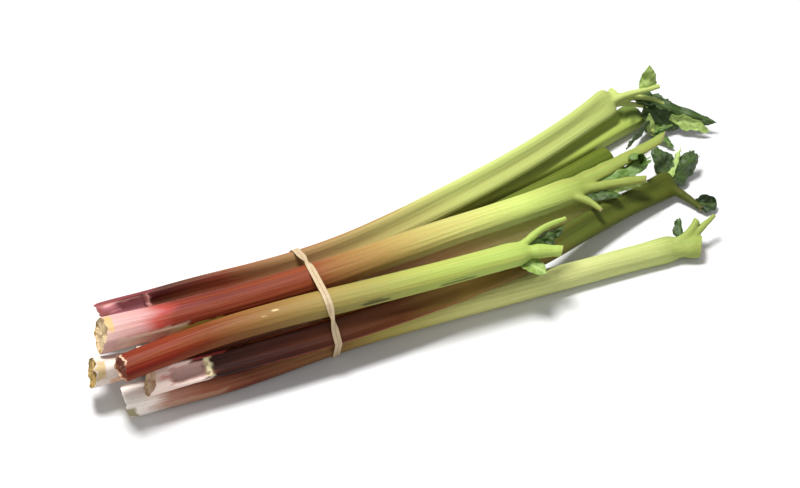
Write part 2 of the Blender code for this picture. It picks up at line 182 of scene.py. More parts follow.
def store(w, mesh, name, value, kind="FLOAT"):
    node = w.add("GeometryNodeStoreNamedAttribute", mesh, None, name, data_type=kind, domain="POINT")
    feed(w.tree, node.inputs["Value"], value)
    return node.outputs[0]


STALK_SIZES = (
    "Butt Width",
    "Band Width",
    "Leaf Width",
    "Butt Thickness",
    "Band Thickness",
    "Leaf Thickness",
    "Butt X",
    "Band X",
    "Leaf X",
    "Butt Roll",
    "Leaf Roll",
    "Channel Depth",
    "Scoop Start",
    "Scoop End",
    "Scoop Depth",
    "Cut Slope",
    "Butt Flare",
    "Leaf Close",
    "Leaf Taper",
    "Ribs",
    "Rib Height",
    "Seed",
    "Material",
)
STALK_ROWS = 180
STALK_COLUMNS = 93
CAP_ROWS = 0.05  # the share of the rows that lie on the cut end
END_ROWS = 0.03  # and of those that close the leaf end
RIBBED_SHARE = 0.58
CHANNEL_REACH = 0.52
SCOOP_REACH = 0.66
SKIN_RADIUS = 0.01  # the radius that the skin's own coordinates are written for
SHARP_ANGLE = 55
RIB_HEIGHT = 0.00016
BUTT_REACH = 0.020  # how far from its base a stalk is swollen
LEAF_REACH = 0.024  # and how far from the leaf it spreads
LEAF_SPREAD = 0.15
CHANNEL_START = 0.030  # the channel grows to its depth over this length
CHANNEL_END = 0.020  # and runs out over this one
SAME_POINT = 0.00002  # points closer than this become one


def route_and_grid(w, rows, columns):
    """The route, and a grid with each point's share of the rows and its turn round the route."""
    route = w.add("GeometryNodeMeshToCurve", w.inputs["Geometry"]).outputs[0]
    grid = w.add("GeometryNodeMeshGrid", 1.0, 1.0, rows, columns).outputs[0]
    spot = w.split(w.add("GeometryNodeInputPosition").outputs[0])
    return route, grid, w.plus(spot[0], 0.5), w.times(w.plus(spot[1], 0.5), 2 * math.pi)


def sampled(w, route, share):
    """The place and the heading at a share of a route."""
    taken = w.add("GeometryNodeSampleCurve", route, None, share, mode="FACTOR")
    return taken.outputs["Position"], w.vector("NORMALIZE", taken.outputs["Tangent"])


def bell(w, distance, reach):
    ratio = w.sum("DIVIDE", distance, reach)
    return w.sum("EXPONENT", w.times(w.times(ratio, ratio), -1.0))


def upright(w, heading):
    """The direction nearest to straight up that is square to a heading."""
    rise = w.split(heading)[2]
    return w.vector("NORMALIZE", w.vector("SUBTRACT", (0.0, 0.0, 1.0), w.scale(heading, rise)))


def skinned(w, grid, place, cut, rib, skin):
    """Stores what the skin is painted by, and moves the grid to its place above the table."""
    place = w.split(place)
    place = w.xyz(place[0], place[1], w.sum("MAXIMUM", place[2], 0.0))
    rib = w.sum("DIVIDE", rib, w.sum("MAXIMUM", w.inputs["Rib Height"], 0.00001))
    mesh = store(w, grid, "cut", cut)
    mesh = store(w, mesh, "rib", rib)
    mesh = store(w, mesh, "skin", skin, "FLOAT_VECTOR")
    mesh = w.add("GeometryNodeSetPosition", mesh, None, place).outputs[0]
    mesh = w.add("GeometryNodeMergeByDistance", mesh, None, SAME_POINT).outputs[0]
    w.finish(mesh)
    return w.tree


def stalk_measures(w, at, to_end, x):
    """A stalk's width and thickness along its route, and how far its leaf end has closed."""
    size = w.inputs
    first = w.ramp(x, size["Butt X"], size["Band X"])
    second = w.ramp(x, size["Band X"], size["Leaf X"])

    def spread_of(kind):
        near = w.minus(size["Band " + kind], size["Butt " + kind])
        far = w.minus(size["Leaf " + kind], size["Band " + kind])
        value = w.sum("MULTIPLY_ADD", near, first, size["Butt " + kind])
        return w.sum("MULTIPLY_ADD", far, second, value)

    lump = w.noise(w.xyz(w.times(at, 16.0), size["Seed"], 0.0), 1.0, 1.0, 0.5)
    lumpy = w.ramp(lump, 0.3, 0.7, 0.985, 1.01)
    swell = w.sum("MULTIPLY_ADD", bell(w, at, BUTT_REACH), size["Butt Flare"], 1.0)
    spread = w.sum("MULTIPLY_ADD", bell(w, to_end, LEAF_REACH), LEAF_SPREAD, 1.0)
    left = w.ramp(to_end, 0.0, size["Leaf Taper"], 1.0, 0.0)
    closing = w.times(w.sum("POWER", left, 3.0), size["Leaf Close"])
    close = w.sum("SQRT", w.minus(1.0, closing))
    whole = w.times(w.times(swell, close), lumpy)
    width = w.times(w.times(spread_of("Width"), whole), spread)
    return width, w.times(spread_of("Thickness"), whole), close


def stalk_dip(w, at, to_end, turn, cosine):
    """How deep the channel along the inner side goes, and the knife's scoop out of it."""
    size = w.inputs
    grown = w.ramp(at, 0.0, CHANNEL_START, kind="SMOOTHSTEP")
    fading = w.ramp(to_end, 0.0, CHANNEL_END, kind="SMOOTHSTEP")
    channel = w.times(w.times(grown, fading), size["Channel Depth"])
    ragged = w.noise(w.xyz(w.times(turn, 1.5), size["Seed"], 3.0), 1.0, 2.0, 0.6)
    shift = w.ramp(ragged, 0.3, 0.7, -0.0015, 0.0015)
    start = w.plus(size["Scoop Start"], shift)
    end = w.plus(size["Scoop End"], shift)
    begin = w.ramp(w.minus(at, start), -0.003, 0.004, kind="SMOOTHSTEP")
    finish = w.ramp(w.minus(end, at), -0.0012, 0.0012, kind="SMOOTHSTEP")
    scoop = w.times(w.times(begin, finish), size["Scoop Depth"])
    steep = w.sum("POWER", w.sum("ABSOLUTE", w.sum("DIVIDE", cosine, SCOOP_REACH)), 4.0)
    hollow = w.times(w.sum("EXPONENT", w.times(steep, -1.0)), scoop)
    return w.sum("MAXIMUM", w.times(bell(w, cosine, CHANNEL_REACH), channel), hollow)


def stalk_ribs(w, skin, turn, sine, round_side):
    """The ribs and fine cords under the skin, strong on the round side and faint inside."""
    size = w.inputs
    drawn = w.vector("MULTIPLY", skin, (1.0, 1.0, 0.02))
    fine = w.noise(w.vector("ADD", drawn, w.xyz(size["Seed"], 0.0, 0.0)), 900.0, 2.0, 0.6)
    cord = w.sum("COSINE", w.times(turn, w.times(size["Ribs"], 2.0)))
    margin = w.sum("MINIMUM", w.times(w.sum("ABSOLUTE", sine), 4.0), 1.0)
    relief = w.plus(w.times(cord, 0.4), w.ramp(fine, 0.3, 0.7, -1.0, 1.0))
    relief = w.times(w.times(relief, margin), size["Rib Height"])
    return w.times(relief, w.ramp(round_side, 0.0, 1.0, 0.45, 1.0))


def stalk_cut(w, at, moved, flat, around, from_rim):
    """How far the cut end leans, is nibbled at its rim, has dried in and is rough inside."""
    size = w.inputs
    height = w.split(moved)[2]
    lean = w.times(w.times(size["Cut Slope"], bell(w, at, 0.008)), height)
    fibres = w.noise(w.xyz(*flat, size["Seed"]), 700.0, 3.0, 0.6)
    dried = w.times(w.ramp(from_rim, 0.0, 0.45, kind="SMOOTHSTEP"), 0.0018)
    rough = w.times(w.ramp(fibres, 0.3, 0.7, -0.0004, 0.0004), w.ramp(from_rim, 0.0, 0.1))
    teeth = w.xyz(w.times(around[0], 1.6), w.times(around[1], 1.6), size["Seed"])
    nibbled = w.ramp(w.noise(teeth, 1.0, 3.0, 0.6), 0.3, 0.7, -0.0016, 0.0016)
    nibbled = w.times(nibbled, bell(w, at, 0.004))
    return w.plus(w.plus(lean, nibbled), w.plus(dried, rough))


def stalk_tree():
    """The rule that a leaf stalk grows by, along a route of any shape."""
    w = Wiring("rhubarb leaf stalk", STALK_SIZES)
    size = w.inputs
    route, grid, row, turn = route_and_grid(w, STALK_ROWS, STALK_COLUMNS)
    length = w.add("GeometryNodeCurveLength", route).outputs[0]
    body = w.ramp(row, CAP_ROWS, 1 - END_ROWS)
    wobble = w.sum("SINE", w.times(body, 2 * math.pi))
    share = w.minus(body, w.times(wobble, 0.6 / (2 * math.pi)))
    at = w.times(share, length)
    to_end = w.minus(length, at)
    place, heading = sampled(w, route, share)
    width, thickness, close = stalk_measures(w, at, to_end, w.split(place)[0])

    cosine = w.sum("COSINE", turn)
    sine = w.sum("SINE", turn)
    round_side = w.sum("LESS_THAN", sine, 0.0)
    skin = w.xyz(w.times(cosine, SKIN_RADIUS), w.times(sine, SKIN_RADIUS), at)
    rib = stalk_ribs(w, skin, turn, sine, round_side)
    dip = w.times(stalk_dip(w, at, to_end, turn, cosine), close)
    sideways = w.times(w.sum("MULTIPLY_ADD", width, 0.5, rib), cosine)
    arch = w.sum("SQRT", w.sum("MAXIMUM", sine, 0.0))
    over = w.times(w.times(thickness, 1 - RIBBED_SHARE), arch)
    over = w.plus(w.minus(over, dip), w.times(rib, arch))
    under = w.times(w.sum("MULTIPLY_ADD", thickness, RIBBED_SHARE, rib), sine)
    outwards = w.add("ShaderNodeMix", round_side, None, over, under).outputs[0]

    from_rim = w.minus(1.0, w.ramp(row, 0.0, CAP_ROWS))
    rim = w.minus(1.0, w.times(from_rim, from_rim))
    tail = w.ramp(row, 1 - END_ROWS, 1.0, 1.0, 0.0)
    shown = w.times(rim, tail)
    sideways = w.times(sideways, shown)
    outwards = w.times(outwards, shown)

    roll = w.ramp(at, 0.0, length, size["Butt Roll"], size["Leaf Roll"])
    up = upright(w, heading)
    side = w.vector("CROSS_PRODUCT", up, heading)
    out = w.scale(up, w.sum("COSINE", roll))
    out = w.vector("ADD", out, w.scale(side, w.sum("SINE", roll)))
    across = w.vector("CROSS_PRODUCT", out, heading)
    moved = w.vector("ADD", w.scale(across, sideways), w.scale(out, outwards))
    lean = stalk_cut(w, at, moved, (sideways, outwards), (cosine, sine), from_rim)
    moved = w.vector("ADD", moved, w.scale(heading, lean))

    is_cut = w.sum("LESS_THAN", size["Leaf Close"], 0.1)
    leaf_cut = w.times(w.minus(1.0, tail), is_cut)
    cut = w.sum("MAXIMUM", from_rim, leaf_cut)
    return skinned(w, grid, w.vector("ADD", place, moved), cut, rib, skin)


def grow(name, tree, points, sizes, closed=False):
    """Runs a tree along a route, in metres, and keeps its result as a plain mesh."""
    path = bpy.data.meshes.new(name + "_route")
    edges = [(i, i + 1) for i in range(len(points) - 1)]
    if closed:
        edges.append((len(points) - 1, 0))
    path.from_pydata(points.tolist(), edges, [])
    rail = bpy.data.objects.new(name + "_route", path)
    bpy.context.scene.collection.objects.link(rail)
    modifier = rail.modifiers.new("grow", "NODES")
    modifier.node_group = tree
    for socket in tree.interface.items_tree:
        if socket.name in sizes and socket.in_out == "INPUT":
            modifier[socket.identifier] = sizes[socket.name]
    depsgraph = bpy.context.evaluated_depsgraph_get()
    mesh = bpy.data.meshes.new_from_object(rail.evaluated_get(depsgraph))
    mesh.name = name
    rail.modifiers.remove(modifier)
    bpy.data.objects.remove(rail)
    mesh.materials.clear()
    mesh.materials.append(sizes["Material"])
    return closed_piece(name, mesh)


def closed_piece(name, mesh):
    """Turns a closed mesh's faces outwards, marks its sharp edges and puts it in the scene."""
    shell = bmesh.new()
    shell.from_mesh(mesh)
    bmesh.ops.recalc_face_normals(shell, faces=shell.faces)
    if shell.calc_volume(signed=True) < 0:
        bmesh.ops.reverse_faces(shell, faces=shell.faces)
    for face in shell.faces:
        face.material_index = 0
        face.smooth = True
    shell.to_mesh(mesh)
    shell.free()
    mesh.set_sharp_from_angle(angle=math.radians(SHARP_ANGLE))
    piece = bpy.data.objects.new(name, mesh)
    bpy.context.scene.collection.objects.link(piece)
    return piece


def linear(red, green, blue):
    """A colour written from 0 to 255, as the light that it gives back."""
    share = np.array((red, green, blue)) / 255
    light = np.where(share <= 0.04045, share / 12.92, ((share + 0.055) / 1.055) ** 2.4)
    return (*light.tolist(), 1.0)


def shader_group(name, inputs, outputs):
    """An empty shader group with named sockets, and its input and output nodes."""
    group = bpy.data.node_groups.new(name, "ShaderNodeTree")
    for label, kind, value in inputs:
        socket = group.interface.new_socket(label, in_out="INPUT", socket_type="NodeSocket" + kind)
        if value is not None:
            socket.default_value = value
    for label, kind in outputs:
        group.interface.new_socket(label, in_out="OUTPUT", socket_type="NodeSocket" + kind)
    return group, group.nodes.new("NodeGroupInput").outputs, group.nodes.new("NodeGroupOutput").inputs


def place_node(tree, kind, *values, **settings):
    """A new node with its inputs filled in order, by a link or a plain value."""
    node = tree.nodes.new(kind)
    for key, value in settings.items():
        setattr(node, key, value)
    for socket, value in zip(node.inputs, values):
        feed(tree, socket, value)
    return node


def mapped(tree, *values):
    """Takes a value's span over to another, from 0 to 1 where no other is given."""
    return place_node(tree, "ShaderNodeMapRange", *values).outputs[0]


def maths(tree, operation, *values):
    return place_node(tree, "ShaderNodeMath", *values, operation=operation).outputs[0]


def drawn_on_skin(group, given):
    """The skin's coordinates, stretched round and along the stalk and shifted by the seed."""
    around = given["Around"]
    stretch = place_node(group, "ShaderNodeCombineXYZ", around, around, given["Along"]).outputs[0]
    shift = place_node(group, "ShaderNodeCombineXYZ", given["Seed"], given["Seed"], 0.0).outputs[0]
    scaled = place_node(
        group, "ShaderNodeVectorMath", given["Skin"], stretch, operation="MULTIPLY"
    ).outputs[0]
    return place_node(group, "ShaderNodeVectorMath", scaled, shift, operation="ADD").outputs[0]


def toned(tree, colour, tone):
    """A colour made darker or lighter by a factor."""
    node = place_node(tree, "ShaderNodeVectorMath", colour, None, None, tone, operation="SCALE")
    return node.outputs[0]


def streaks_group():
    """Fibres under the skin: a mask of streaks that run lengthwise."""
    group, given, gives = shader_group(
        "lengthwise streaks",
        (
            ("Skin", "Vector", None),
            ("Around", "Float", 300.0),
            ("Along", "Float", 8.0),
            ("Seed", "Float", 0.0),
            ("Low", "Float", 0.45),
            ("High", "Float", 0.65),
        ),
        (("Mask", "Float"),),
    )
    drawn = drawn_on_skin(group, given)
    noise = place_node(group, "ShaderNodeTexNoise", drawn, None, 1.0, 3.0, 0.6).outputs[0]
    mask = mapped(group, noise, given["Low"], given["High"])
    group.links.new(mask, gives["Mask"])
    return group


def flecks_group():
    """Small breathing pores and bruises: a mask of short dashes scattered over the skin."""
    group, given, gives = shader_group(
        "skin flecks",
        (
            ("Skin", "Vector", None),
            ("Around", "Float", 500.0),
            ("Along", "Float", 180.0),
            ("Seed", "Float", 0.0),
            ("Size", "Float", 0.16),
        ),
        (("Mask", "Float"),),
    )
    drawn = drawn_on_skin(group, given)
    cells = place_node(group, "ShaderNodeTexVoronoi", drawn, None, 1.0).outputs[0]
    soft = maths(group, "MULTIPLY", given["Size"], 2.0)
    mask = mapped(group, cells, given["Size"], soft, 1.0, 0.0)
    group.links.new(mask, gives["Mask"])
    return group


def cut_group():
    """The cut end: pale wet flesh dotted with fibre ends, inside a rim that has dried brown."""
    group, given, gives = shader_group(
        "cut flesh",
        (
            ("Cut", "Float", 0.0),
            ("Flesh", "Color", None),
            ("Rim", "Color", None),
            ("Dryness", "Float", 0.3),
        ),
        (("Color", "Color"), ("Mask", "Float")),
    )
    place = place_node(group, "ShaderNodeTexCoord").outputs["Object"]
    noise = place_node(group, "ShaderNodeTexNoise", place, None, 260.0, 3.0, 0.6).outputs[0]
    dots = place_node(group, "ShaderNodeTexVoronoi", place, None, 700.0).outputs[0]
    dots = mapped(group, dots, 0.15, 0.4, 0.55, 0.0)
    edge = mapped(group, noise, 0.3, 0.7, -0.25, 0.25)
    edge = maths(group, "ADD", given["Cut"], edge)
    dry = mapped(group, edge, given["Dryness"], 0.0, 0.0, 1.0)
    dry = maths(group, "MAXIMUM", dry, dots)
    colour = place_node(group, "ShaderNodeMix", data_type="RGBA")
    group.links.new(dry, colour.inputs["Factor"])
    group.links.new(given["Flesh"], colour.inputs[6])
    group.links.new(given["Rim"], colour.inputs[7])
    group.links.new(colour.outputs[2], gives["Color"])
    mask = mapped(group, given["Cut"], 0.0, 0.03)
    group.links.new(mask, gives["Mask"])
    return group


STREAKS = streaks_group()
FLECKS = flecks_group()
CUT = cut_group()


def placed_group(tree, group, **values):
    node = tree.nodes.new("ShaderNodeGroup")
    node.node_tree = group
    for label, value in values.items():
        feed(tree, node.inputs[label], value)
    return node


def blended(tree, factor, first, second, kind="MIX"):
    node = tree.nodes.new("ShaderNodeMix")
    node.data_type = "RGBA"
    node.blend_type = kind
    feed(tree, node.inputs[0], factor)
    feed(tree, node.inputs[6], first)
    feed(tree, node.inputs[7], second)
    return node.outputs[2]


def attribute(tree, name, output="Fac"):
    node = tree.nodes.new("ShaderNodeAttribute")
    node.attribute_name = name
    return node.outputs[output]


STREAK_STRENGTH = 0.16
FLECK_STRENGTH = 0.16
FLECK_COLOUR = (150, 95, 60)
SKIN_ROUGHNESS = 0.42
SKIN_SHINE = 0.15


def skin_material(name, colours, length, streak, flesh, rim, seed):
    """Rhubarb's skin: colours as shares of the length, streaked, flecked, with painted shade in the rib
    grooves and painted light on the rib crests, and cut at the end.
    """
    material = bpy.data.materials.new(name)
    material.use_nodes = True
    tree = material.node_tree
    shader = tree.nodes["Principled BSDF"]
    skin = attribute(tree, "skin", "Vector")
    along = place_node(tree, "ShaderNodeSeparateXYZ", skin).outputs[2]
    share = maths(tree, "DIVIDE", along, length * 0.001)
    wander = placed_group(
        tree, STREAKS, Skin=skin, Around=130.0, Along=12.0, Seed=seed, Low=0.3, High=0.7
    )
    shift = mapped(tree, wander.outputs[0], 0.0, 1.0, -0.02, 0.02)
    share = maths(tree, "ADD", share, shift)
    ramp = place_node(tree, "ShaderNodeValToRGB", share)
    stops = ramp.color_ramp.elements
    for i, (position, colour) in enumerate(colours):
        stop = stops[i] if i < 2 else stops.new(position)
        stop.position = position
        stop.color = linear(*colour)
    colour = ramp.outputs[0]
    broad = placed_group(
        tree, STREAKS, Skin=skin, Around=260.0, Along=5.0, Seed=seed + 3, Low=0.42, High=0.72
    )
    amount = maths(tree, "MULTIPLY", broad.outputs[0], STREAK_STRENGTH)
    colour = blended(tree, amount, colour, linear(*streak))
    hair = placed_group(
        tree, STREAKS, Skin=skin, Around=1500.0, Along=22.0, Seed=seed + 7, Low=0.35, High=0.7
    )
    tone = mapped(tree, hair.outputs[0], 0.0, 1.0, 0.93, 1.08)
    rib = attribute(tree, "rib")
    # Painted shade and light: the skin is darkened in the grooves between the ribs and lightened on their
    # crests.
    rib_shade = mapped(tree, rib, -1.0, 1.0, 0.93, 1.06)
    colour = toned(tree, toned(tree, colour, tone), rib_shade)
    dots = placed_group(tree, FLECKS, Skin=skin, Around=650.0, Along=260.0, Seed=seed, Size=0.12)
    amount = maths(tree, "MULTIPLY", dots.outputs[0], FLECK_STRENGTH)
    colour = blended(tree, amount, colour, linear(*FLECK_COLOUR), "MULTIPLY")
    painted = attribute(tree, "patch", "Color")
    colour = blended(tree, attribute(tree, "patch", "Alpha"), colour, painted)
    end = placed_group(tree, CUT, Cut=attribute(tree, "cut"), Flesh=linear(*flesh), Rim=linear(*rim))
    colour = blended(tree, end.outputs["Mask"], colour, end.outputs["Color"])
    tree.links.new(colour, shader.inputs["Base Color"])
    gloss = mapped(tree, hair.outputs[0], 0.0, 1.0, SKIN_ROUGHNESS + 0.1, SKIN_ROUGHNESS)
    tree.links.new(gloss, shader.inputs["Roughness"])
    bump = place_node(tree, "ShaderNodeBump", 0.25, 0.0004)
    tree.links.new(hair.outputs[0], bump.inputs["Height"])
    tree.links.new(bump.outputs[0], shader.inputs["Normal"])
    shader.inputs["Specular IOR Level"].default_value = SKIN_SHINE
    return material


def layer_of(mesh, layer, field, width):
    """A layer of a mesh, as an array with one row for each point."""
    values = np.zeros(len(mesh.vertices) * width)
    mesh.attributes[layer].data.foreach_get(field, values)
    return values.reshape(-1, width)


def paint(piece, patches):
    """Paints soft patches: (angle, half angle, from, to, colour, strength), in degrees and mm."""
    mesh = piece.data
    count = len(mesh.vertices)
    skin = layer_of(mesh, "skin", "vector", 3)
    angle = np.degrees(np.arctan2(skin[:, 1], skin[:, 0]))
    at = skin[:, 2] * 1000
    rng = np.random.default_rng(len(patches) + count)
    waves = rng.uniform(0.2, 0.9, (4, 2))
    phase = rng.uniform(0, 2 * math.pi, 4)
    ragged = sum(np.sin(waves[k, 0] * at + waves[k, 1] * angle / 4 + phase[k]) for k in range(4)) / 4
    colours = np.zeros((count, 4))
    for middle, half, start, end, colour, strength in patches:
        turned = np.abs((angle - middle + 180) % 360 - 180) / half
        along_share = np.abs(at - (start + end) / 2) / ((end - start) / 2)
        inside = 1 - np.maximum(turned, along_share) + 0.18 * ragged
        mask = np.clip(inside / 0.35, 0, 1)
        mask = strength * mask * mask * (3 - 2 * mask)
        cover = mask[:, None]
        colours[:, :3] = colours[:, :3] * (1 - cover) + np.array(linear(*colour)[:3]) * cover
        colours[:, 3] = np.maximum(colours[:, 3], mask)
    shown = np.maximum(colours[:, 3:], 1e-6)
    colours[:, :3] = np.clip(colours[:, :3] / shown, 0, 1)
    layer = mesh.attributes.new("patch", "FLOAT_COLOR", "POINT")
    layer.data.foreach_set("color", colours.ravel())


LEAF_STALK = stalk_tree()


def leaf_stalk(
    name, route, width, thickness, roll, material, cut=0.0, flare=0.16, scoop=None, close=0.84,
    taper=11, seed=0.0
):
    """One leaf stalk. Width and thickness are given at the butt, the band and the leaf end."""
    start, end = scoop if scoop else (-60.0, -50.0)
    sizes = {
        "Butt X": in_metres(route[0])[0],
        "Band X": in_metres((BAND_X, 0, 0))[0],
        "Leaf X": in_metres(route[-1])[0],
        "Butt Roll": math.radians(roll[0]),
        "Leaf Roll": math.radians(roll[1]),
        "Channel Depth": 0.0022,
        "Scoop Start": start * 0.001,
        "Scoop End": end * 0.001,
        "Scoop Depth": 0.0065,
        "Cut Slope": math.tan(math.radians(cut)),
        "Butt Flare": flare,
        "Leaf Close": close,
        "Leaf Taper": taper * 0.001,
        "Ribs": 9.0,
        "Rib Height": RIB_HEIGHT,
        "Seed": seed,
        "Material": material,
    }
    for i, where in enumerate(("Butt", "Band", "Leaf")):
        sizes[where + " Width"] = width[i] * 0.001
        sizes[where + " Thickness"] = thickness[i] * 0.001
    return grow(name, LEAF_STALK, in_metres(smooth_route(route, 200)), sizes)


def finish_piece(piece, node):
    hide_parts(node)
    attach(piece, "root")


middle_floor_skin = skin_material(
    "green stalk, middle",
    ((0.0, (225, 205, 190)), (0.1, (150, 90, 60)), (0.4, (130, 115, 55)), (0.7, (95, 108, 38)),
     (1.0, (85, 100, 28))),
    length=400, streak=(150, 150, 60), flesh=(205, 205, 150), rim=(150, 130, 60), seed=11.0,
)
middle_floor = leaf_stalk(
    "middle_floor_stalk",
    ((-205, -18, 6.5), (-80, -35, 9.5), (0, -9, 9), (100, 13, 8.5), (190, 33, 7)),
    (18, 18, 17), (14, 14, 15), (170, 180), middle_floor_skin, close=0.0, seed=1.0,
)
paint(middle_floor, ())
finish_piece(middle_floor, "stalk_middle_floor")


# The back stalk of the bottom layer. Its leaf end shows beyond the stalk that lies on it, and
# from its end one side vein hangs on, with dark scraps of the leaf that the knife left on it.

VEIN_SIZES = (
    "Start Radius",
    "End Radius",
    "Flatness",
    "Cut Slope",
    "Start Along",
    "Rib Height",
    "Seed",
    "Material",
)
VEIN_ROWS = 90
VEIN_COLUMNS = 49
VEIN_ROOT = 0.06  # the share of the rows that close its root, inside the stalk
VEIN_RIM = 0.9  # and where along the rows its cut end begins
VEIN_SKIN_RADIUS = 0.006


def vein_tree():
    """The rule that a cut leaf vein follows: a ribbed, tapering cord with a cut end."""
    w = Wiring("rhubarb leaf vein", VEIN_SIZES)
    size = w.inputs
    route, grid, row, turn = route_and_grid(w, VEIN_ROWS, VEIN_COLUMNS)
    length = w.add("GeometryNodeCurveLength", route).outputs[0]
    share = w.ramp(row, VEIN_ROOT, VEIN_RIM)
    place, heading = sampled(w, route, share)
    from_rim = w.ramp(row, VEIN_RIM, 1.0)
    rim = w.minus(1.0, w.times(from_rim, from_rim))
    shown = w.times(w.ramp(row, 0.0, VEIN_ROOT), rim)
    cosine = w.sum("COSINE", turn)
    sine = w.sum("SINE", turn)
    skin = w.xyz(
        w.times(cosine, VEIN_SKIN_RADIUS),
        w.times(sine, VEIN_SKIN_RADIUS),
        w.plus(w.times(share, length), size["Start Along"]),
    )
    drawn = w.vector("MULTIPLY", skin, (1.0, 1.0, 0.08))
    fine = w.noise(w.vector("ADD", drawn, w.xyz(size["Seed"], 0.0, 0.0)), 700.0, 2.0, 0.6)
    rib = w.times(w.ramp(fine, 0.3, 0.7, -1.0, 1.0), size["Rib Height"])
    lump = w.noise(place, 150.0, 1.0, 0.5)
    radius = w.ramp(w.sum("POWER", share, 0.7), 0.0, 1.0, size["Start Radius"], size["End Radius"])
    radius = w.sum("MULTIPLY_ADD", radius, w.ramp(lump, 0.3, 0.7, 0.92, 1.08), rib)
    up = upright(w, heading)
    across = w.vector("CROSS_PRODUCT", up, heading)
    sideways = w.times(w.times(radius, cosine), shown)
    outwards = w.times(w.times(w.times(radius, sine), size["Flatness"]), shown)
    moved = w.vector("ADD", w.scale(across, sideways), w.scale(up, outwards))
    last = w.ramp(share, 0.8, 1.0, kind="SMOOTHSTEP")
    lean = w.times(w.times(sideways, size["Cut Slope"]), last)
    dried = w.times(w.times(radius, from_rim), -0.3)
    moved = w.vector("ADD", moved, w.scale(heading, w.plus(lean, dried)))
    return skinned(w, grid, w.vector("ADD", place, moved), from_rim, rib, skin)


LEAF_VEIN = vein_tree()


JOINED_SHARP_ANGLE = 60


def joined(name, parts):
    """Makes one piece of several finished meshes."""
    whole = bmesh.new()
    materials = []
    for part in parts:
        before = len(whole.faces)
        whole.from_mesh(part.data)
        whole.faces.ensure_lookup_table()
        if part.data.materials[0] not in materials:
            materials.append(part.data.materials[0])
        slot = materials.index(part.data.materials[0])
        for face in whole.faces[before:]:
            face.material_index = slot
    mesh = bpy.data.meshes.new(name)
    whole.to_mesh(mesh)
    whole.free()
    for material in materials:
        mesh.materials.append(material)
    mesh.set_sharp_from_angle(angle=math.radians(JOINED_SHARP_ANGLE))
    for part in parts:
        bpy.data.objects.remove(part)
    piece = bpy.data.objects.new(name, mesh)
    bpy.context.scene.collection.objects.link(piece)
    return piece


CREASE_REACH = 0.005  # how far from the crease between two veins the flesh is filled out
CREASE_ROUNDS = 30
CREASE_PULL = 0.6
NEW_POINT = 1e-6  # a point farther than this from all the earlier ones lies on a crease
SKIN_LAYERS = (
    ("skin", "FLOAT_VECTOR", "vector", 3),
    ("patch", "FLOAT_COLOR", "color", 4),
    ("cut", "FLOAT", "value", 1),
    ("rib", "FLOAT", "value", 1),
)


def points_of(mesh):
    places = np.zeros(len(mesh.vertices) * 3)
    mesh.vertices.foreach_get("co", places)
    return places.reshape(-1, 3)


def nearest_of(points):
    """A tree that finds the nearest of these points."""
    tree = KDTree(len(points))
    for i, point in enumerate(points):
        tree.insert(point, i)
    tree.balance()
    return tree


def fill_creases(mesh, creases):
    """Rounds off the creases where one grown part leaves another."""
    tree = nearest_of(creases)
    places = points_of(mesh)
    distance = np.array([tree.find(point)[2] for point in places])
    weight = np.clip(1.2 - distance / CREASE_REACH, 0, 1)[:, None] * CREASE_PULL
    ends = np.zeros(len(mesh.edges) * 2, int)
    mesh.edges.foreach_get("vertices", ends)
    ends = ends.reshape(-1, 2)
    ends = ends[(weight[ends, 0] > 0).any(axis=1)]
    near, far = np.concatenate([ends, ends[:, ::-1]]).T
    count = np.maximum(np.bincount(near, minlength=len(places)), 1)[:, None]
    for _ in range(CREASE_ROUNDS):
        total = [np.bincount(near, places[far, axis], len(places)) for axis in range(3)]
        places += weight * (np.stack(total, axis=1) / count - places)
    places[:, 2] = np.maximum(places[:, 2], 0)
    mesh.vertices.foreach_set("co", places.ravel())


def grown_vein(i, body, points, radii, flatness, cut):
    """One vein of a stalk. Its skin's coordinates carry on from where it leaves the stalk."""
    base = body.data
    line = in_metres(smooth_route(points, 40))
    nearest = np.argmin(np.linalg.norm(points_of(base) - line[0], axis=1))
    sizes = {
        "Start Radius": radii[0] * 0.001,
        "End Radius": radii[1] * 0.001,
        "Flatness": flatness,
        "Cut Slope": math.tan(math.radians(cut)),
        "Start Along": layer_of(base, "skin", "vector", 3)[nearest, 2],
        "Rib Height": RIB_HEIGHT,
        "Seed": 3.0 + i,
        "Material": base.materials[0],
    }
    vein = grow(f"vein_{i}", LEAF_VEIN, line, sizes)
    paint(vein, ())
    return vein


def union_of(body, veins):
    """The mesh of a stalk and its veins as one closed skin."""
    group = bpy.data.collections.new("grown_veins")
    bpy.context.scene.collection.children.link(group)
    for vein in veins:
        bpy.context.scene.collection.objects.unlink(vein)
        group.objects.link(vein)
    union = body.modifiers.new("union", "BOOLEAN")
    union.operation = "UNION"
    union.operand_type = "COLLECTION"
    union.collection = group
    union.solver = "EXACT"
    bpy.context.view_layer.update()
    depsgraph = bpy.context.evaluated_depsgraph_get()
    whole = bpy.data.meshes.new_from_object(body.evaluated_get(depsgraph))
    body.modifiers.remove(union)
    bpy.data.collections.remove(group)
    return whole


def carry_layers(meshes, origin, whole):
    """Gives each point of the whole the layers of the point that it came from."""
    for layer, kind, field, width in SKIN_LAYERS:
        values = np.concatenate([layer_of(mesh, layer, field, width) for mesh in meshes])[origin]
        if layer in whole.attributes:
            whole.attributes.remove(whole.attributes[layer])
        whole.attributes.new(layer, kind, "POINT").data.foreach_set(field, values.ravel())


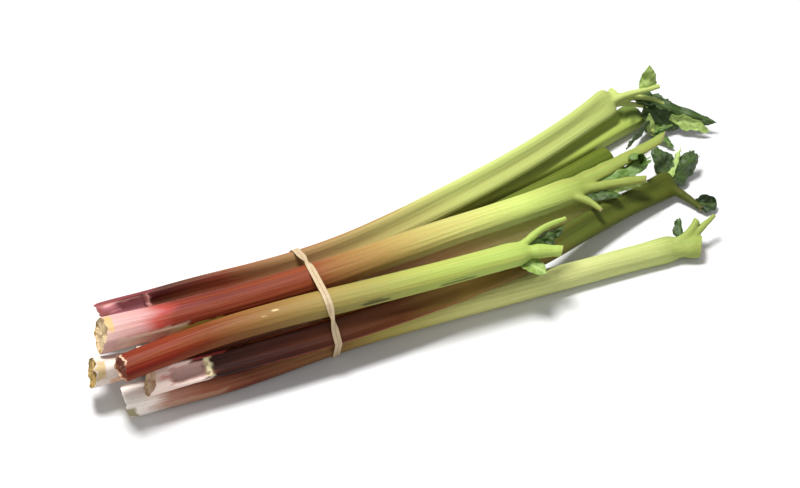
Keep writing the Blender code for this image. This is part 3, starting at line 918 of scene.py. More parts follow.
def with_veins(body, *stubs):
    """Grows a stalk's veins out of it: (points, start and end radius, flatness, cut degrees)."""
    veins = [grown_vein(i, body, *stub) for i, stub in enumerate(stubs)]
    whole = union_of(body, veins)
    pieces = [body, *veins]
    meshes = [piece.data for piece in pieces]
    tree = nearest_of(np.concatenate([points_of(mesh) for mesh in meshes]))
    found = [tree.find(point) for point in points_of(whole)]
    origin = np.array([hit[1] for hit in found])
    is_new = np.array([hit[2] for hit in found]) > NEW_POINT
    carry_layers(meshes, origin, whole)
    fill_creases(whole, points_of(whole)[is_new])
    whole.materials.clear()
    whole.materials.append(body.data.materials[0])
    name = body.name
    for piece in pieces:
        bpy.data.objects.remove(piece)
    return closed_piece(name, whole)


LEAF_ROWS = 70
LEAF_COLUMNS = 45
LEAF_THICKNESS = 0.5
SIDE_VEIN_WIDTH = 0.45
MIDRIB_WIDTH = 0.8


def rumple(rng, x, y, shortest, longest, count=5):
    """Gentle random waves over a surface, between -1 and 1."""
    height = 0
    for _ in range(count):
        turn = rng.uniform(0, 2 * math.pi)
        pitch = rng.uniform(shortest, longest)
        phase = rng.uniform(0, 2 * math.pi)
        along = x * math.cos(turn) + y * math.sin(turn)
        height = height + np.sin(2 * math.pi * along / pitch + phase)
    return height / count


def smooth(share):
    share = np.clip(share, 0, 1)
    return share * share * (3 - 2 * share)


def blade_mesh(name, upper):
    """A thin closed blade under a grid of points: the upper side, the underside and the rim."""
    facing = np.cross(np.gradient(upper, axis=0), np.gradient(upper, axis=1))
    facing /= np.maximum(np.linalg.norm(facing, axis=2), 1e-9)[..., None]
    upper[..., 2] = np.maximum(upper[..., 2], LEAF_THICKNESS)
    lower = upper - LEAF_THICKNESS * facing
    lower[..., 2] = np.maximum(lower[..., 2], 0.0)
    points = in_metres(np.concatenate((upper.reshape(-1, 3), lower.reshape(-1, 3))))
    count = LEAF_ROWS * LEAF_COLUMNS
    index = np.arange(count).reshape(LEAF_ROWS, LEAF_COLUMNS)
    quads = np.stack((index[:-1, :-1], index[1:, :-1], index[1:, 1:], index[:-1, 1:]), -1)
    quads = quads.reshape(-1, 4)
    rim = np.r_[index[:, 0], index[-1, 1:], index[-2::-1, -1], index[0, -2:0:-1]]
    ahead = np.roll(rim, -1)
    wall = np.stack((ahead, rim, rim + count, ahead + count), -1)
    faces = np.concatenate((quads, quads[:, ::-1] + count, wall))
    mesh = bpy.data.meshes.new(name)
    mesh.from_pydata(points.tolist(), [], faces.tolist())
    return mesh


def leaf_scrap(
    name, material, root, tip, across, breadth, waves=2, wave=1.5, curl=40, sides=(-1, 1),
    point=2, blunt=0.0, seed=1, vein_gap=6.0, crinkle=0.6
):
    """A scrap of leaf from its root on a vein to its tip, puckered between raised veins."""
    rng = np.random.default_rng(seed)
    root, tip = np.array(root, float), np.array(tip, float)
    length = np.linalg.norm(tip - root)
    stem = (tip - root) / length
    across = np.array(across, float)
    across -= (across @ stem) * stem
    across /= np.linalg.norm(across)
    normal = np.cross(stem, across)
    u = np.linspace(0, 1, LEAF_ROWS)[:, None] * np.ones(LEAF_COLUMNS)
    v = np.linspace(sides[0], sides[1], LEAF_COLUMNS)[None, :] * np.ones(LEAF_ROWS)[:, None]
    lobes = 1 + 0.07 * np.cos(2 * math.pi * waves * u + 1.0)
    taper = np.clip(1 - u**point, 0, 1) ** 0.7 * (0.5 + 0.5 * smooth(3 * u))
    taper = np.maximum(taper, max(blunt, 0.8 / breadth))
    torn = rumple(rng, u * length, np.sign(v) * 9, 1.8, 6, 8) * np.abs(v) ** 3
    wide = breadth * taper * lobes * (1 + 0.16 * torn)
    bend = math.radians(curl) * v * np.minimum(1, 3 * taper)
    bend = np.where(np.abs(bend) < 1e-6, 1e-6, bend)
    sideways = wide * v * np.sin(bend) / bend
    raised = wide * v * (1 - np.cos(bend)) / bend
    flat_x, flat_y = u * length, wide * v
    ripple = wave * taper * np.abs(v) ** 1.5 * np.sin(2 * math.pi * waves * u + 2 * v)
    side_veins = (flat_x - 0.9 * np.abs(flat_y)) / vein_gap + rng.uniform()
    off_vein = np.abs(side_veins - np.round(side_veins)) * vein_gap
    vein = np.exp(-((off_vein / SIDE_VEIN_WIDTH) ** 2)) * (0.4 + 0.6 * (1 - np.abs(v)))
    vein = np.maximum(vein, np.exp(-((flat_y / MIDRIB_WIDTH) ** 2)))
    pucker = crinkle * np.abs(np.sin(math.pi * side_veins)) * smooth(3 * np.abs(v))
    pucker = pucker + crinkle * rumple(rng, flat_x, flat_y, 4, 12) * smooth(2 * np.abs(v))
    pucker = pucker + 3 * crinkle * rumple(rng, flat_x, flat_y, 9, 22, 3) * smooth(1.5 * taper)
    edge = rumple(rng, v * breadth, v * 0, 3, 9, 5) * 0.10 * length * u**6
    lift = (raised + ripple + pucker + 0.25 * vein) * smooth(6 * u + 0.2)
    upper = root + (u * length + edge)[..., None] * stem + sideways[..., None] * across
    bent_up = -np.sin(bend)[..., None] * across + np.cos(bend)[..., None] * normal
    bumps = lift - raised * smooth(6 * u + 0.2)
    upper = upper + raised[..., None] * normal + bumps[..., None] * bent_up
    mesh = blade_mesh(name, upper)
    mesh.materials.append(material)
    layer = mesh.attributes.new("blade", "FLOAT_VECTOR", "POINT")
    blade = np.stack((flat_x, flat_y, vein), -1).reshape(-1, 3)
    layer.data.foreach_set("vector", np.concatenate((blade, blade)).ravel())
    under = mesh.attributes.new("under", "FLOAT", "POINT")
    under.data.foreach_set("value", np.repeat((0.0, 1.0), LEAF_ROWS * LEAF_COLUMNS))
    return closed_piece(name, mesh)


def blotches_group():
    """The leaf's own mottling: a mask of soft patches that follow the blade."""
    group, given, gives = shader_group(
        "leaf blotches",
        (("Blade", "Vector", None), ("Scale", "Float", 0.25), ("Seed", "Float", 0.0)),
        (("Mask", "Float"), ("Fine", "Float")),
    )
    shift = place_node(group, "ShaderNodeCombineXYZ", given["Seed"], given["Seed"], 0.0).outputs[0]
    drawn = place_node(group, "ShaderNodeVectorMath", given["Blade"], shift, operation="ADD").outputs[0]
    broad = place_node(group, "ShaderNodeTexNoise", drawn, None, given["Scale"], 3.0, 0.6).outputs[0]
    mask = mapped(group, broad, 0.35, 0.65)
    group.links.new(mask, gives["Mask"])
    fine = place_node(group, "ShaderNodeTexNoise", drawn, None, 2.2, 2.0, 0.6).outputs[0]
    group.links.new(fine, gives["Fine"])
    return group


BLOTCHES = blotches_group()


def leaf_material(name, dark, light, vein, under, seed):
    """A leaf blade: mottled green with paler veins, and a paler underside."""
    material = bpy.data.materials.new(name)
    material.use_nodes = True
    tree = material.node_tree
    shader = tree.nodes["Principled BSDF"]
    blade = attribute(tree, "blade", "Vector")
    spots = placed_group(tree, BLOTCHES, Blade=blade, Scale=0.25, Seed=seed)
    colour = blended(tree, spots.outputs["Mask"], linear(*dark), linear(*light))
    colour = blended(tree, attribute(tree, "under"), colour, linear(*under))
    fine = spots.outputs["Fine"]
    tone = mapped(tree, fine, 0.3, 0.7, 0.8, 1.15)
    colour = toned(tree, colour, tone)
    veins = place_node(tree, "ShaderNodeSeparateXYZ", blade).outputs[2]
    amount = maths(tree, "MULTIPLY", veins, 0.5)
    colour = blended(tree, amount, colour, linear(*vein))
    tree.links.new(colour, shader.inputs["Base Color"])
    shader.inputs["Roughness"].default_value = 0.4
    shader.inputs["Specular IOR Level"].default_value = 0.4
    bump = place_node(tree, "ShaderNodeBump", 0.5, 0.0006)
    tree.links.new(fine, bump.inputs["Height"])
    tree.links.new(bump.outputs[0], shader.inputs["Normal"])
    return material


DARK_LEAF = leaf_material(
    "dark rhubarb leaf",
    dark=(24, 38, 15), light=(46, 66, 24), vein=(92, 116, 52), under=(58, 80, 34), seed=1.0,
)
MID_LEAF = leaf_material(
    "mid green rhubarb leaf",
    dark=(52, 80, 32), light=(84, 114, 48), vein=(138, 164, 84), under=(96, 126, 58), seed=5.0,
)
PALE_LEAF = leaf_material(
    "pale rhubarb leaf",
    dark=(112, 140, 62), light=(146, 172, 84), vein=(190, 208, 126), under=(150, 174, 92),
    seed=9.0,
)

back_floor_skin = skin_material(
    "green stalk, back",
    ((0.0, (220, 190, 180)), (0.1, (130, 70, 50)), (0.35, (150, 120, 65)), (0.6, (150, 152, 70)),
     (0.8, (162, 178, 84)), (0.95, (150, 168, 80))),
    length=460, streak=(150, 150, 60), flesh=(205, 205, 150), rim=(150, 130, 60), seed=12.0,
)
back_floor = leaf_stalk(
    "back_floor_stalk",
    ((-196, 10, 7.5), (-80, -10, 12), (0, 13, 10.5), (133, 40, 9.5), (239, 70, 7)),
    (18, 20, 20), (15, 15, 16), (10, 0), back_floor_skin, close=0.7, seed=2.0,
)
paint(back_floor, ((20, 150, 425, 480, (70, 88, 38), 0.7),))
back_floor = with_veins(back_floor, (((232, 66, 8), (242, 57, 8), (236, 44, 7)), (4, 2.4), 1.0, 20))
finish_piece(back_floor, "stalk_back_floor")
back_floor_leaves = joined(
    "back_floor_leaf",
    (
        leaf_scrap(
            "spike", PALE_LEAF, (236, 45, 6), (236, 50, 22), (1, -0.2, 0), breadth=4, waves=1,
            wave=0.4, curl=20, seed=1,
        ),
        leaf_scrap(
            "curled", DARK_LEAF, (240, 55, 7), (205, 29, 15), (0.4, -0.5, 0.7), breadth=10,
            waves=3, wave=1.8, curl=50, sides=(-0.4, 1), point=5, blunt=0.4, seed=2,
        ),
        leaf_scrap(
            "strip", MID_LEAF, (238, 50, 6), (245, 26, 3), (1, 0, 0.2), breadth=5, waves=2,
            wave=0.8, curl=30, point=3, seed=3,
        ),
        leaf_scrap(
            "fringe", MID_LEAF, (232, 48, 8), (254, 44, 9), (0.2, -1, -0.3), breadth=4, waves=4,
            wave=1.0, curl=30, seed=4,
        ),
    ),
)
finish_piece(back_floor_leaves, "stalk_back_floor")


# The front stalk of the bottom layer, the longest to be seen. Its base is white where the crown's
# scales kept off the light, and its leaf end swells where the three main veins part.

front_floor_skin = skin_material(
    "red and yellow stalk",
    ((0.0, (248, 238, 230)), (0.04, (242, 230, 222)), (0.07, (174, 128, 114)),
     (0.12, (145, 82, 60)), (0.2, (102, 46, 30)), (0.33, (115, 75, 40)), (0.45, (165, 152, 80)),
     (0.6, (200, 200, 126)), (0.7, (206, 210, 134)), (0.8, (192, 198, 128)),
     (0.93, (180, 192, 116)), (1.0, (146, 162, 82))),
    length=420, streak=(190, 170, 90), flesh=(232, 218, 190), rim=(176, 160, 86), seed=31.0,
)
front_floor = leaf_stalk(
    "front_floor_stalk",
    ((-224, -51, 8.6), (-165, -59, 8.8), (-80, -60, 10.4), (50, -66, 9.5), (120, -70, 8),
     (192, -75, 7.2)),
    (20, 18, 18), (16, 15, 16), (160, 150), front_floor_skin, cut=-10, taper=20, seed=3.0,
)
paint(
    front_floor,
    (
        (-20, 26, -3, 6, (124, 112, 46), 0.8),
        (-5, 30, 10, 70, (190, 160, 130), 0.35),
    ),
)
front_floor = with_veins(
    front_floor,
    (((158, -72, 8), (186, -76, 8.3), (204, -83, 8.6)), (7.5, 9.4), 0.85, 10),
    (((178, -75, 9), (200, -75, 13.5), (213, -71, 17.5), (222, -68, 20)), (7, 1.2), 1.0, 0),
    (((186, -75, 11), (200, -72, 16), (208, -67, 19.5)), (4.5, 2.6), 1.0, 15),
)
finish_piece(front_floor, "stalk_front_floor")
front_floor_leaves = joined(
    "front_floor_leaf",
    (
        leaf_scrap(
            "scrap", DARK_LEAF, (190, -75, 14), (195, -62, 22), (1, 0, 0.2), breadth=5, waves=2,
            wave=1.4, curl=40, sides=(-1, 0.5), point=6, blunt=0.5, seed=5,
        ),
        leaf_scrap(
            "edge", PALE_LEAF, (198, -75, 13), (221, -68, 20), (0.2, -1, -0.2), breadth=2.5,
            waves=4, wave=0.6, curl=20, seed=6,
        ),
    ),
)
finish_piece(front_floor_leaves, "stalk_front_floor")


# The stalk inside the bunch. Only its white base stands out between the others, and farther on
# it shows as a dull strip in the gap. Its cut end has dried to a yellow-brown rim.

core_skin = skin_material(
    "mauve and olive stalk",
    ((0.0, (220, 205, 195)), (0.05, (215, 200, 190)), (0.1, (185, 110, 95)), (0.2, (150, 80, 64)),
     (0.5, (190, 140, 105)), (0.65, (225, 176, 132)), (0.78, (212, 200, 132)),
     (1.0, (190, 198, 98))),
    length=405, streak=(170, 130, 90), flesh=(186, 156, 96), rim=(122, 96, 32), seed=41.0,
)
core = leaf_stalk(
    "core_stalk",
    ((-240, -33, 27), (-80, -42, 27.5), (0, -27, 21), (80, -15, 11.5), (160, -8, 9.5)),
    (17, 17, 16), (16.5, 14, 13), (20, 10), core_skin, cut=18, seed=4.0,
)
paint(
    core,
    (
        (150, 50, 0, 9, (176, 146, 60), 0.7),
        (-140, 24, 9, 26, (196, 140, 100), 0.7),
    ),
)
core = with_veins(core, (((148, -9, 9.5), (168, -10, 9)), (6, 4), 1.0, 0))
finish_piece(core, "stalk_core")


# The dark stalk at the front, lying on its side so that its channel faces out. A slice was taken
# out of the channel near the base, and it left a hollow with a pale rim.

front_side_skin = skin_material(
    "dark maroon stalk",
    ((0.0, (245, 225, 210)), (0.035, (215, 150, 138)), (0.06, (105, 38, 30)), (0.1, (36, 8, 6)),
     (0.22, (48, 10, 4)), (0.4, (86, 44, 14)), (0.52, (135, 108, 50)), (0.6, (104, 84, 38)),
     (0.75, (80, 92, 34)), (1.0, (72, 82, 26))),
    length=440, streak=(120, 70, 36), flesh=(220, 190, 160), rim=(176, 158, 88), seed=51.0,
)
front_side = leaf_stalk(
    "front_side_stalk",
    ((-208, -59, 29), (-80, -67, 28.5), (25, -65, 29), (75, -57.5, 26.5), (130, -38.5, 18.5),
     (221, -14, 9.5)),
    (16, 19, 18), (14, 13, 13), (-45, -35), front_side_skin, cut=24, scoop=(14, 38), seed=5.0,
)
paint(
    front_side,
    (
        (150, 60, -8, 42, (236, 214, 202), 0.9),
        (30, 60, -8, 32, (238, 210, 200), 0.9),
        (90, 44, 11, 40, (196, 158, 150), 1.0),
        (90, 62, 36.5, 42, (226, 212, 168), 1.0),
        (22, 22, 28, 54, (190, 80, 74), 0.6),
        (14, 11, 50, 230, (176, 84, 36), 0.8),
        (165, 12, 60, 240, (140, 52, 36), 0.6),
    ),
)
front_side = with_veins(
    front_side, (((214, -16, 9), (222, -29, 6.5), (228, -44, 4)), (4.5, 2), 1.0, 0)
)
finish_piece(front_side, "stalk_front_side")
front_side_leaves = joined(
    "front_side_leaf",
    (
        leaf_scrap(
            "frill", PALE_LEAF, (214, -14, 12), (236, 4, 22), (0.9, -0.3, 0.3), breadth=4, waves=1,
            wave=0.5, curl=50, seed=7,
        ),
        leaf_scrap(
            "back", DARK_LEAF, (220, -14, 10), (221, 16, 20), (1, -0.1, 0.2), breadth=11, waves=2,
            wave=1.8, curl=40, sides=(-0.7, 1), point=4, blunt=0.35, seed=8,
        ),
        leaf_scrap(
            "cup", DARK_LEAF, (218, -15, 11), (249, 0, 17), (0.4, -0.6, -0.6), breadth=12, waves=2,
            wave=2.2, curl=60, sides=(-0.8, 1), point=6, blunt=0.5, seed=9,
        ),
        leaf_scrap(
            "tip", DARK_LEAF, (226, -38, 5), (240, -45, 5), (0.3, 0.8, 0.5), breadth=8, waves=2,
            wave=1.3, curl=50, point=5, seed=10,
        ),
    ),
)
finish_piece(front_side_leaves, "stalk_front_side")


# The maroon stalk on top at the back. Its base was cut aslant into the hollow of its channel,
# and the whole fan of its veins is left at the other end, with the largest scraps of leaf.

back_top_skin = skin_material(
    "maroon to green stalk",
    ((0.0, (150, 85, 82)), (0.03, (105, 40, 38)), (0.08, (58, 10, 8)), (0.18, (105, 42, 22)),
     (0.34, (152, 122, 78)), (0.47, (175, 168, 102)), (0.62, (186, 196, 114)),
     (0.95, (176, 190, 108))),
    length=450, streak=(150, 110, 60), flesh=(222, 196, 180), rim=(178, 160, 96), seed=61.0,
)
back_top = leaf_stalk(
    "back_top_stalk",
    ((-214, 13, 26), (-150, 3, 33.5), (-80, -4, 35), (40, 17, 30), (130, 41, 28), (214, 72, 28)),
    (18, 21, 20), (14, 15, 14), (-50, -45), back_top_skin, cut=-35, scoop=(8, 28), seed=6.0,
)
paint(
    back_top,
    (
        (90, 48, 2, 29, (176, 112, 118), 1.0),
        (90, 62, 27, 31, (212, 150, 142), 0.9),
        (5, 34, -4, 40, (122, 44, 52), 0.7),
        (44, 8, 0, 28, (226, 170, 166), 0.8),
        (175, 24, -4, 30, (214, 160, 152), 0.6),
        (12, 12, 60, 240, (150, 92, 50), 0.6),
    ),
)
back_top = with_veins(
    back_top,
    (((188, 60, 26), (206, 69, 27), (219, 74.5, 29)), (4.5, 7.0), 0.85, 5),
    (((202, 66, 27), (218, 69, 30), (232, 65, 34), (249, 60, 38)), (4.5, 1.6), 1.0, 0),
    (((206, 70, 25), (222, 70, 26), (238, 66, 26), (257, 53, 20)), (3.5, 1.4), 1.0, 0),
    (((206, 71, 25), (226, 67, 23), (241, 60, 20)), (3.2, 1.6), 1.0, 0),
)
finish_piece(back_top, "stalk_back_top")
FACING = (0.0, -0.66, -0.75)  # a blade spread this way shows its flat side to the camera
back_top_leaves = joined(
    "back_top_leaf",
    (
        leaf_scrap(
            "spire", PALE_LEAF, (240, 63, 34), (243, 67, 54), (1, -0.3, 0.1), breadth=10, waves=1,
            wave=0.6, curl=20, point=1.2, seed=11,
        ),
        leaf_scrap(
            "wing", DARK_LEAF, (240, 64, 25), (284, 32, 12), FACING, breadth=15, waves=3, wave=2,
            curl=40, sides=(-0.25, 1), point=3, seed=12, vein_gap=8,
        ),
        leaf_scrap(
            "mass", DARK_LEAF, (232, 68, 25), (258, 51, 18), (-0.5, -0.6, 0.2), breadth=13,
            waves=3, wave=1.5, curl=-40, point=4, seed=13,
        ),
        leaf_scrap(
            "depth", DARK_LEAF, (236, 60, 20), (264, 42, 10), FACING, breadth=13, waves=2,
            wave=1.5, curl=30, point=5, seed=21,
        ),
        leaf_scrap(
            "flap", PALE_LEAF, (254, 48, 15), (278, 29, 7), (0.3, -0.6, -0.7), breadth=5.5,
            waves=2, wave=1.2, curl=-50, point=4, seed=14,
        ),
    ),
)
finish_piece(back_top_leaves, "stalk_back_top")


# The broad stalk in the middle of the top layer, its ribbed side up. Light reaches only its green
# end; the base is still pink and white. Its veins were cut long, and one curl of leaf rolled up.

middle_top_skin = skin_material(
    "red to green stalk",
    ((0.0, (205, 172, 165)), (0.07, (195, 145, 142)), (0.1, (165, 62, 56)), (0.13, (112, 32, 20)),
     (0.2, (102, 32, 16)), (0.38, (118, 52, 26)), (0.52, (158, 130, 72)), (0.68, (188, 185, 108)),
     (0.82, (188, 205, 110)), (0.97, (140, 156, 76))),
    length=385, streak=(190, 110, 56), flesh=(210, 184, 144), rim=(140, 112, 48), seed=71.0,
)
middle_top = leaf_stalk(
    "middle_top_stalk",
    ((-228, -18, 42), (-80, -27, 42), (24, -20, 37.5), (100, -11, 29), (150, -7, 28)),
    (24, 23, 21), (17, 16, 14), (170, 180), middle_top_skin, cut=24, flare=0.05, taper=30, seed=7.0,
)
paint(
    middle_top,
    (
        (-100, 40, -3, 9, (200, 168, 100), 0.8),
        (165, 40, -3, 10, (196, 160, 90), 0.7),
        # Painted highlight: a pale yellow-green strip along the lower front edge of the stalk.
        (-8, 14, 42, 84, (206, 200, 92), 0.9),
        (-12, 26, 6, 60, (226, 206, 176), 0.5),
    ),
)
middle_top = with_veins(
    middle_top,
    (((118, -9, 28), (152, -3, 29.5), (180, 1, 32), (222, 8, 36)), (10, 3.6), 0.55, 55),
    (((128, -9, 28), (163, -16, 30), (190, -23, 31)), (5.5, 3.0), 0.9, 20),
    (((124, -10, 28), (137, -21, 29.5), (143.5, -37.5, 30)), (6, 1.6), 1.0, 0),
)
finish_piece(middle_top, "stalk_middle_top")
middle_top_leaves = joined(
    "middle_top_leaf",
    (
        leaf_scrap(
            "blade", MID_LEAF, (146, -8, 29), (203, -4, 31), (0, -1, -0.1), breadth=10, waves=2,
            wave=1.2, curl=30, sides=(-0.5, 1), point=5, blunt=0.3, seed=15,
        ),
        leaf_scrap(
            "curl", MID_LEAF, (190, -5, 27), (193, -13, 36), (1, 0.1, 0), breadth=22, waves=0,
            wave=0, curl=250, sides=(0, 1), point=6, blunt=0.8, seed=16, crinkle=0.2,
        ),
        leaf_scrap(
            "under", PALE_LEAF, (146, -12, 29), (188, -24, 30.5), FACING, breadth=6, waves=3,
            wave=1.2, curl=30, sides=(0, 1), point=4, seed=17,
        ),
        leaf_scrap(
            "web", DARK_LEAF, (140, -13, 28), (166, -27, 28), (0.5, -0.8, -0.1), breadth=6,
            waves=2, wave=1, curl=30, point=3, seed=18,
        ),
    ),
)
finish_piece(middle_top_leaves, "stalk_middle_top")


# The short stalk on top at the front, cut below the leaf so that its two thick veins fork early.

front_top_skin = skin_material(
    "brick red to green stalk",
    ((0.0, (110, 24, 12)), (0.1, (118, 30, 10)), (0.2, (110, 44, 16)), (0.32, (126, 88, 46)),
     (0.45, (140, 118, 64)), (0.6, (146, 142, 76)), (0.76, (160, 174, 84)), (0.9, (166, 186, 92)),
     (1.0, (160, 182, 90))),
    length=295, streak=(190, 140, 70), flesh=(130, 62, 44), rim=(214, 186, 150), seed=81.0,
)
front_top = leaf_stalk(
    "front_top_stalk",
    ((-225, -55, 44.5), (-150, -50.5, 44.5), (-80, -54.5, 44), (0, -62, 44.5), (70, -66, 44)),
    (20, 21, 18), (15, 15, 14), (190, 185), front_top_skin, cut=12, flare=0.0, taper=22, seed=8.0,
)
paint(
    front_top,
    (
        (2, 4, 166, 189, (60, 56, 26), 0.8),
        (-6, 3, 172, 184, (76, 72, 34), 0.6),
        (6, 4, 222, 251, (62, 66, 30), 0.8),
        (-3, 3, 230, 246, (80, 86, 40), 0.5),
        (-70, 5, 105, 112, (224, 200, 150), 0.9),
        (-55, 4, 98, 103, (214, 180, 120), 0.9),
        (-100, 50, -1, 2, (214, 180, 150), 0.9),
    ),
)
front_top = with_veins(
    front_top,
    (((48, -65, 44), (72, -69, 44.5), (90, -76, 44)), (7.8, 4.0), 0.9, 15),
    (((54, -64, 45), (66, -62, 47.5), (82, -58, 52), (102, -57, 54)), (4.2, 1.6), 1.0, 0),
)
finish_piece(front_top, "stalk_front_top")
front_top_leaves = joined(
    "front_top_leaf",
    (
        leaf_scrap(
            "frill", DARK_LEAF, (64, -64, 46), (98, -60, 50), (0.2, -0.8, -0.5), breadth=9,
            waves=4, wave=1.6, curl=40, sides=(-0.2, 1), point=4, seed=19, crinkle=1.0,
        ),
        leaf_scrap(
            "tab", PALE_LEAF, (60, -67, 41), (73, -84, 37), (1, 0.2, 0), breadth=7, waves=1,
            wave=0.5, curl=15, point=5, seed=20, crinkle=0.2,
        ),
    ),
)
finish_piece(front_top_leaves, "stalk_front_top")


# The rubber band: a plain cream produce band, put on doubled, so that two flat strands run side by
# side and change places where they are twisted. It is stretched tight over the stalks.

BAND_SIZES = ("Strand Width", "Strand Thickness", "Crossings", "Sway", "Strand", "Material")
BAND_ROWS = 700
BAND_COLUMNS = 25
BAND_REACH = 0.004  # how near to the band's middle a stalk's points carry it
BAND_LIFT = 0.0003


def band_tree():
    """One strand of the band, on a closed route round the bunch."""
    w = Wiring("doubled rubber band", BAND_SIZES)
    size = w.inputs
    route, grid, share, turn = route_and_grid(w, BAND_ROWS, BAND_COLUMNS)
    place, heading = sampled(w, route, share)
    outward = w.vector("NORMALIZE", w.vector("CROSS_PRODUCT", heading, (1.0, 0.0, 0.0)))
    steps = w.times(share, size["Crossings"])
    swap = w.ramp(w.sum("FRACT", steps), 0.25, 0.75, kind="SMOOTHSTEP")
    swaps = w.plus(w.sum("FLOOR", steps), swap)
    phase = w.times(w.plus(swaps, size["Strand"]), math.pi)
    half = w.times(size["Strand Width"], 0.5)
    thick = w.times(size["Strand Thickness"], 0.5)
    beside = w.times(w.sum("COSINE", phase), w.times(half, 1.02))
    above = w.times(w.sum("SINE", phase), w.times(thick, 1.1))
    lift = w.plus(thick, w.times(w.sum("ABSOLUTE", w.sum("SINE", phase)), thick))
    cosine = w.sum("COSINE", turn)
    sine = w.sum("SINE", turn)

    def squared(value, power):
        return w.times(w.sum("SIGN", value), w.sum("POWER", w.sum("ABSOLUTE", value), power))

    wide = w.times(squared(cosine, 0.6), half)
    high = w.times(squared(sine, 0.6), thick)
    tilt = w.times(w.sum("SINE", phase), 0.5)
    level, steep = w.sum("COSINE", tilt), w.sum("SINE", tilt)
    turned_wide = w.minus(w.times(wide, level), w.times(high, steep))
    turned_high = w.plus(w.times(wide, steep), w.times(high, level))
    sway = w.times(w.sum("SINE", w.times(share, 4 * math.pi)), size["Sway"])
    sideways = w.plus(w.plus(turned_wide, beside), sway)
    outwards = w.plus(w.plus(turned_high, above), lift)
    moved = w.vector("ADD", w.xyz(sideways, 0.0, 0.0), w.scale(outward, outwards))
    on_strand = w.xyz(w.times(share, 0.25), sideways, outwards)
    mesh = store(w, grid, "strand", on_strand, "FLOAT_VECTOR")
    mesh = w.add("GeometryNodeSetPosition", mesh, None, w.vector("ADD", place, moved)).outputs[0]
    mesh = w.add("GeometryNodeMergeByDistance", mesh, None, SAME_POINT).outputs[0]
    w.finish(mesh)
    return w.tree


def tight_loop(points):
    """The corners of the tightest loop round a set of flat points, anticlockwise."""
    points = sorted(set(map(tuple, points)))
    loop = []
    for run in (points, points[::-1]):
        start = len(loop)
        for p in run:
            while len(loop) >= start + 2:
                (ay, az), (by, bz) = loop[-2], loop[-1]
                if (by - ay) * (p[1] - az) > (bz - az) * (p[0] - ay):
                    break
                loop.pop()
            loop.append(p)
        loop.pop()
    return np.array(loop)


band_place = in_metres((BAND_X, 0, 0))[0]
under_band = []
for stalk in (middle_floor, back_floor, front_floor, core, front_side, back_top, middle_top, front_top):
    corners = points_of(stalk.data)
    near = np.abs(corners[:, 0] - band_place) < BAND_REACH
    under_band.append(corners[near, 1:])
outline = tight_loop(np.concatenate(under_band))
turns = np.linspace(0, 2 * math.pi, 720, endpoint=False)
outwards = np.c_[np.cos(turns), np.sin(turns)]
reach = outline[np.argmax(outline @ outwards.T, axis=0)] + BAND_LIFT * outwards
reach = np.r_[reach, reach[:1]]
walked = np.r_[0, np.cumsum(np.linalg.norm(np.diff(reach, axis=0), axis=1))]
evenly = np.linspace(0, walked[-1], 360, endpoint=False)
loop_y = np.interp(evenly, walked, reach[:, 0])
loop_z = np.maximum(np.interp(evenly, walked, reach[:, 1]), BAND_LIFT)

rubber = bpy.data.materials.new("cream rubber")
rubber.use_nodes = True
rubber_tree = rubber.node_tree
rubber_inputs = rubber_tree.nodes["Principled BSDF"].inputs
on_band = attribute(rubber_tree, "strand", "Vector")
clouds = place_node(rubber_tree, "ShaderNodeTexNoise", on_band, None, 500.0, 2.0, 0.5).outputs[0]
cream = blended(rubber_tree, clouds, linear(196, 176, 142), linear(166, 144, 110))
rubber_tree.links.new(cream, rubber_inputs["Base Color"])
rubber_inputs["Roughness"].default_value = 0.55

BAND_TREE = band_tree()
strands = []
route_points = np.c_[np.full(len(loop_y), band_place), loop_y, loop_z]
for strand in (0.0, 1.0):
    sizes = {
        "Strand Width": 0.0026,
        "Strand Thickness": 0.0010,
        "Crossings": 4.0,
        "Sway": 0.001,
        "Strand": strand,
        "Material": rubber,
    }
    strands.append(grow(f"strand_{int(strand)}", BAND_TREE, route_points, sizes, closed=True))
band = joined("twisted_band", strands)
finish_piece(band, "rubber_band")


# The photographer's table: a plain white sweep under soft light, with the camera's long lens
# looking down on the bunch from the front, a little to the left.

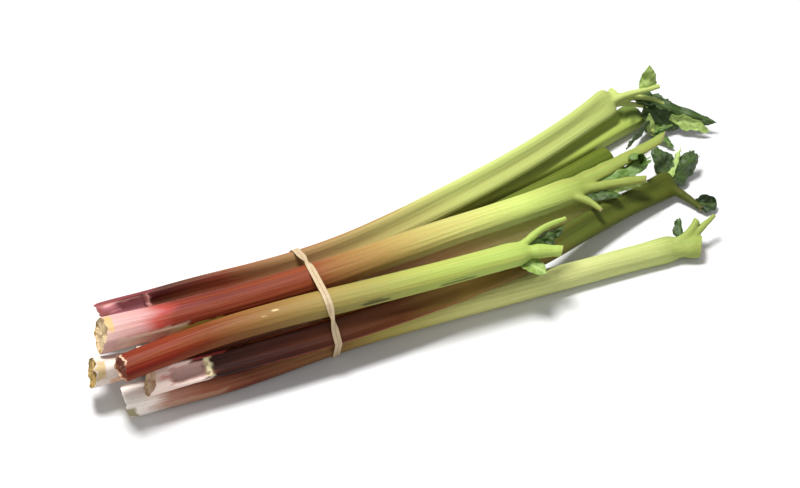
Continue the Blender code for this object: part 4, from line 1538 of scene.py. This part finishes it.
floor_mesh = bpy.data.meshes.new("table_top")
floor_mesh.from_pydata([(-3, -3, 0), (3, -3, 0), (3, 3, 0), (-3, 3, 0)], [], [(0, 1, 2, 3)])
floor = bpy.data.objects.new("table_top", floor_mesh)
bpy.context.scene.collection.objects.link(floor)
floor_finish = bpy.data.materials.new("white sweep")
floor_finish.use_nodes = True
floor_inputs = floor_finish.node_tree.nodes["Principled BSDF"].inputs
floor_inputs["Base Color"].default_value = (0.72, 0.72, 0.72, 1)
floor_inputs["Roughness"].default_value = 0.9
floor_inputs["Specular IOR Level"].default_value = 0.1
floor_mesh.materials.append(floor_finish)
floor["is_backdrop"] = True


def soft_light(name, place, aim, size, power):
    lamp = bpy.data.lights.new(name, "AREA")
    lamp.shape = "DISK"
    lamp.size = size
    lamp.energy = power
    holder = bpy.data.objects.new(name, lamp)
    bpy.context.scene.collection.objects.link(holder)
    holder.location = place
    facing = np.array(aim, float) - np.array(place, float)
    holder.rotation_euler = Vector(facing).to_track_quat("-Z", "Y").to_euler()


soft_light("key", (-0.15, 0.3, 1.3), (0, 0, 0), 0.45, 26)
soft_light("fill", (-0.3, -1.2, 1.0), (0, 0, 0), 1.2, 4)

world = bpy.data.worlds.new("studio")
world.use_nodes = True
world.node_tree.nodes["Background"].inputs["Color"].default_value = (1, 1, 1, 1)
world.node_tree.nodes["Background"].inputs["Strength"].default_value = 0.32
bpy.context.scene.world = world
bpy.context.scene.view_settings.view_transform = "Standard"

CAMERA_TARGET = np.array((-0.021, 0.0055, 0.02))
CAMERA_TURN = math.radians(-24.5)
CAMERA_RISE = math.radians(44)
CAMERA_DISTANCE = 1.28
back = np.array(
    (
        math.sin(CAMERA_TURN) * math.cos(CAMERA_RISE),
        -math.cos(CAMERA_TURN) * math.cos(CAMERA_RISE),
        math.sin(CAMERA_RISE),
    )
)
lens = bpy.data.cameras.new("camera")
lens.lens = 80
lens.sensor_width = 36
camera = bpy.data.objects.new("camera", lens)
bpy.context.scene.collection.objects.link(camera)
camera.location = CAMERA_TARGET + CAMERA_DISTANCE * back
camera.rotation_euler = Vector(-back).to_track_quat("-Z", "Y").to_euler()
bpy.context.scene.camera = camera

bpy.context.view_layer.update()
sizes = {"cad": [list(corner) for corner in cad_box], "visual": [list(corner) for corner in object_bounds()]}
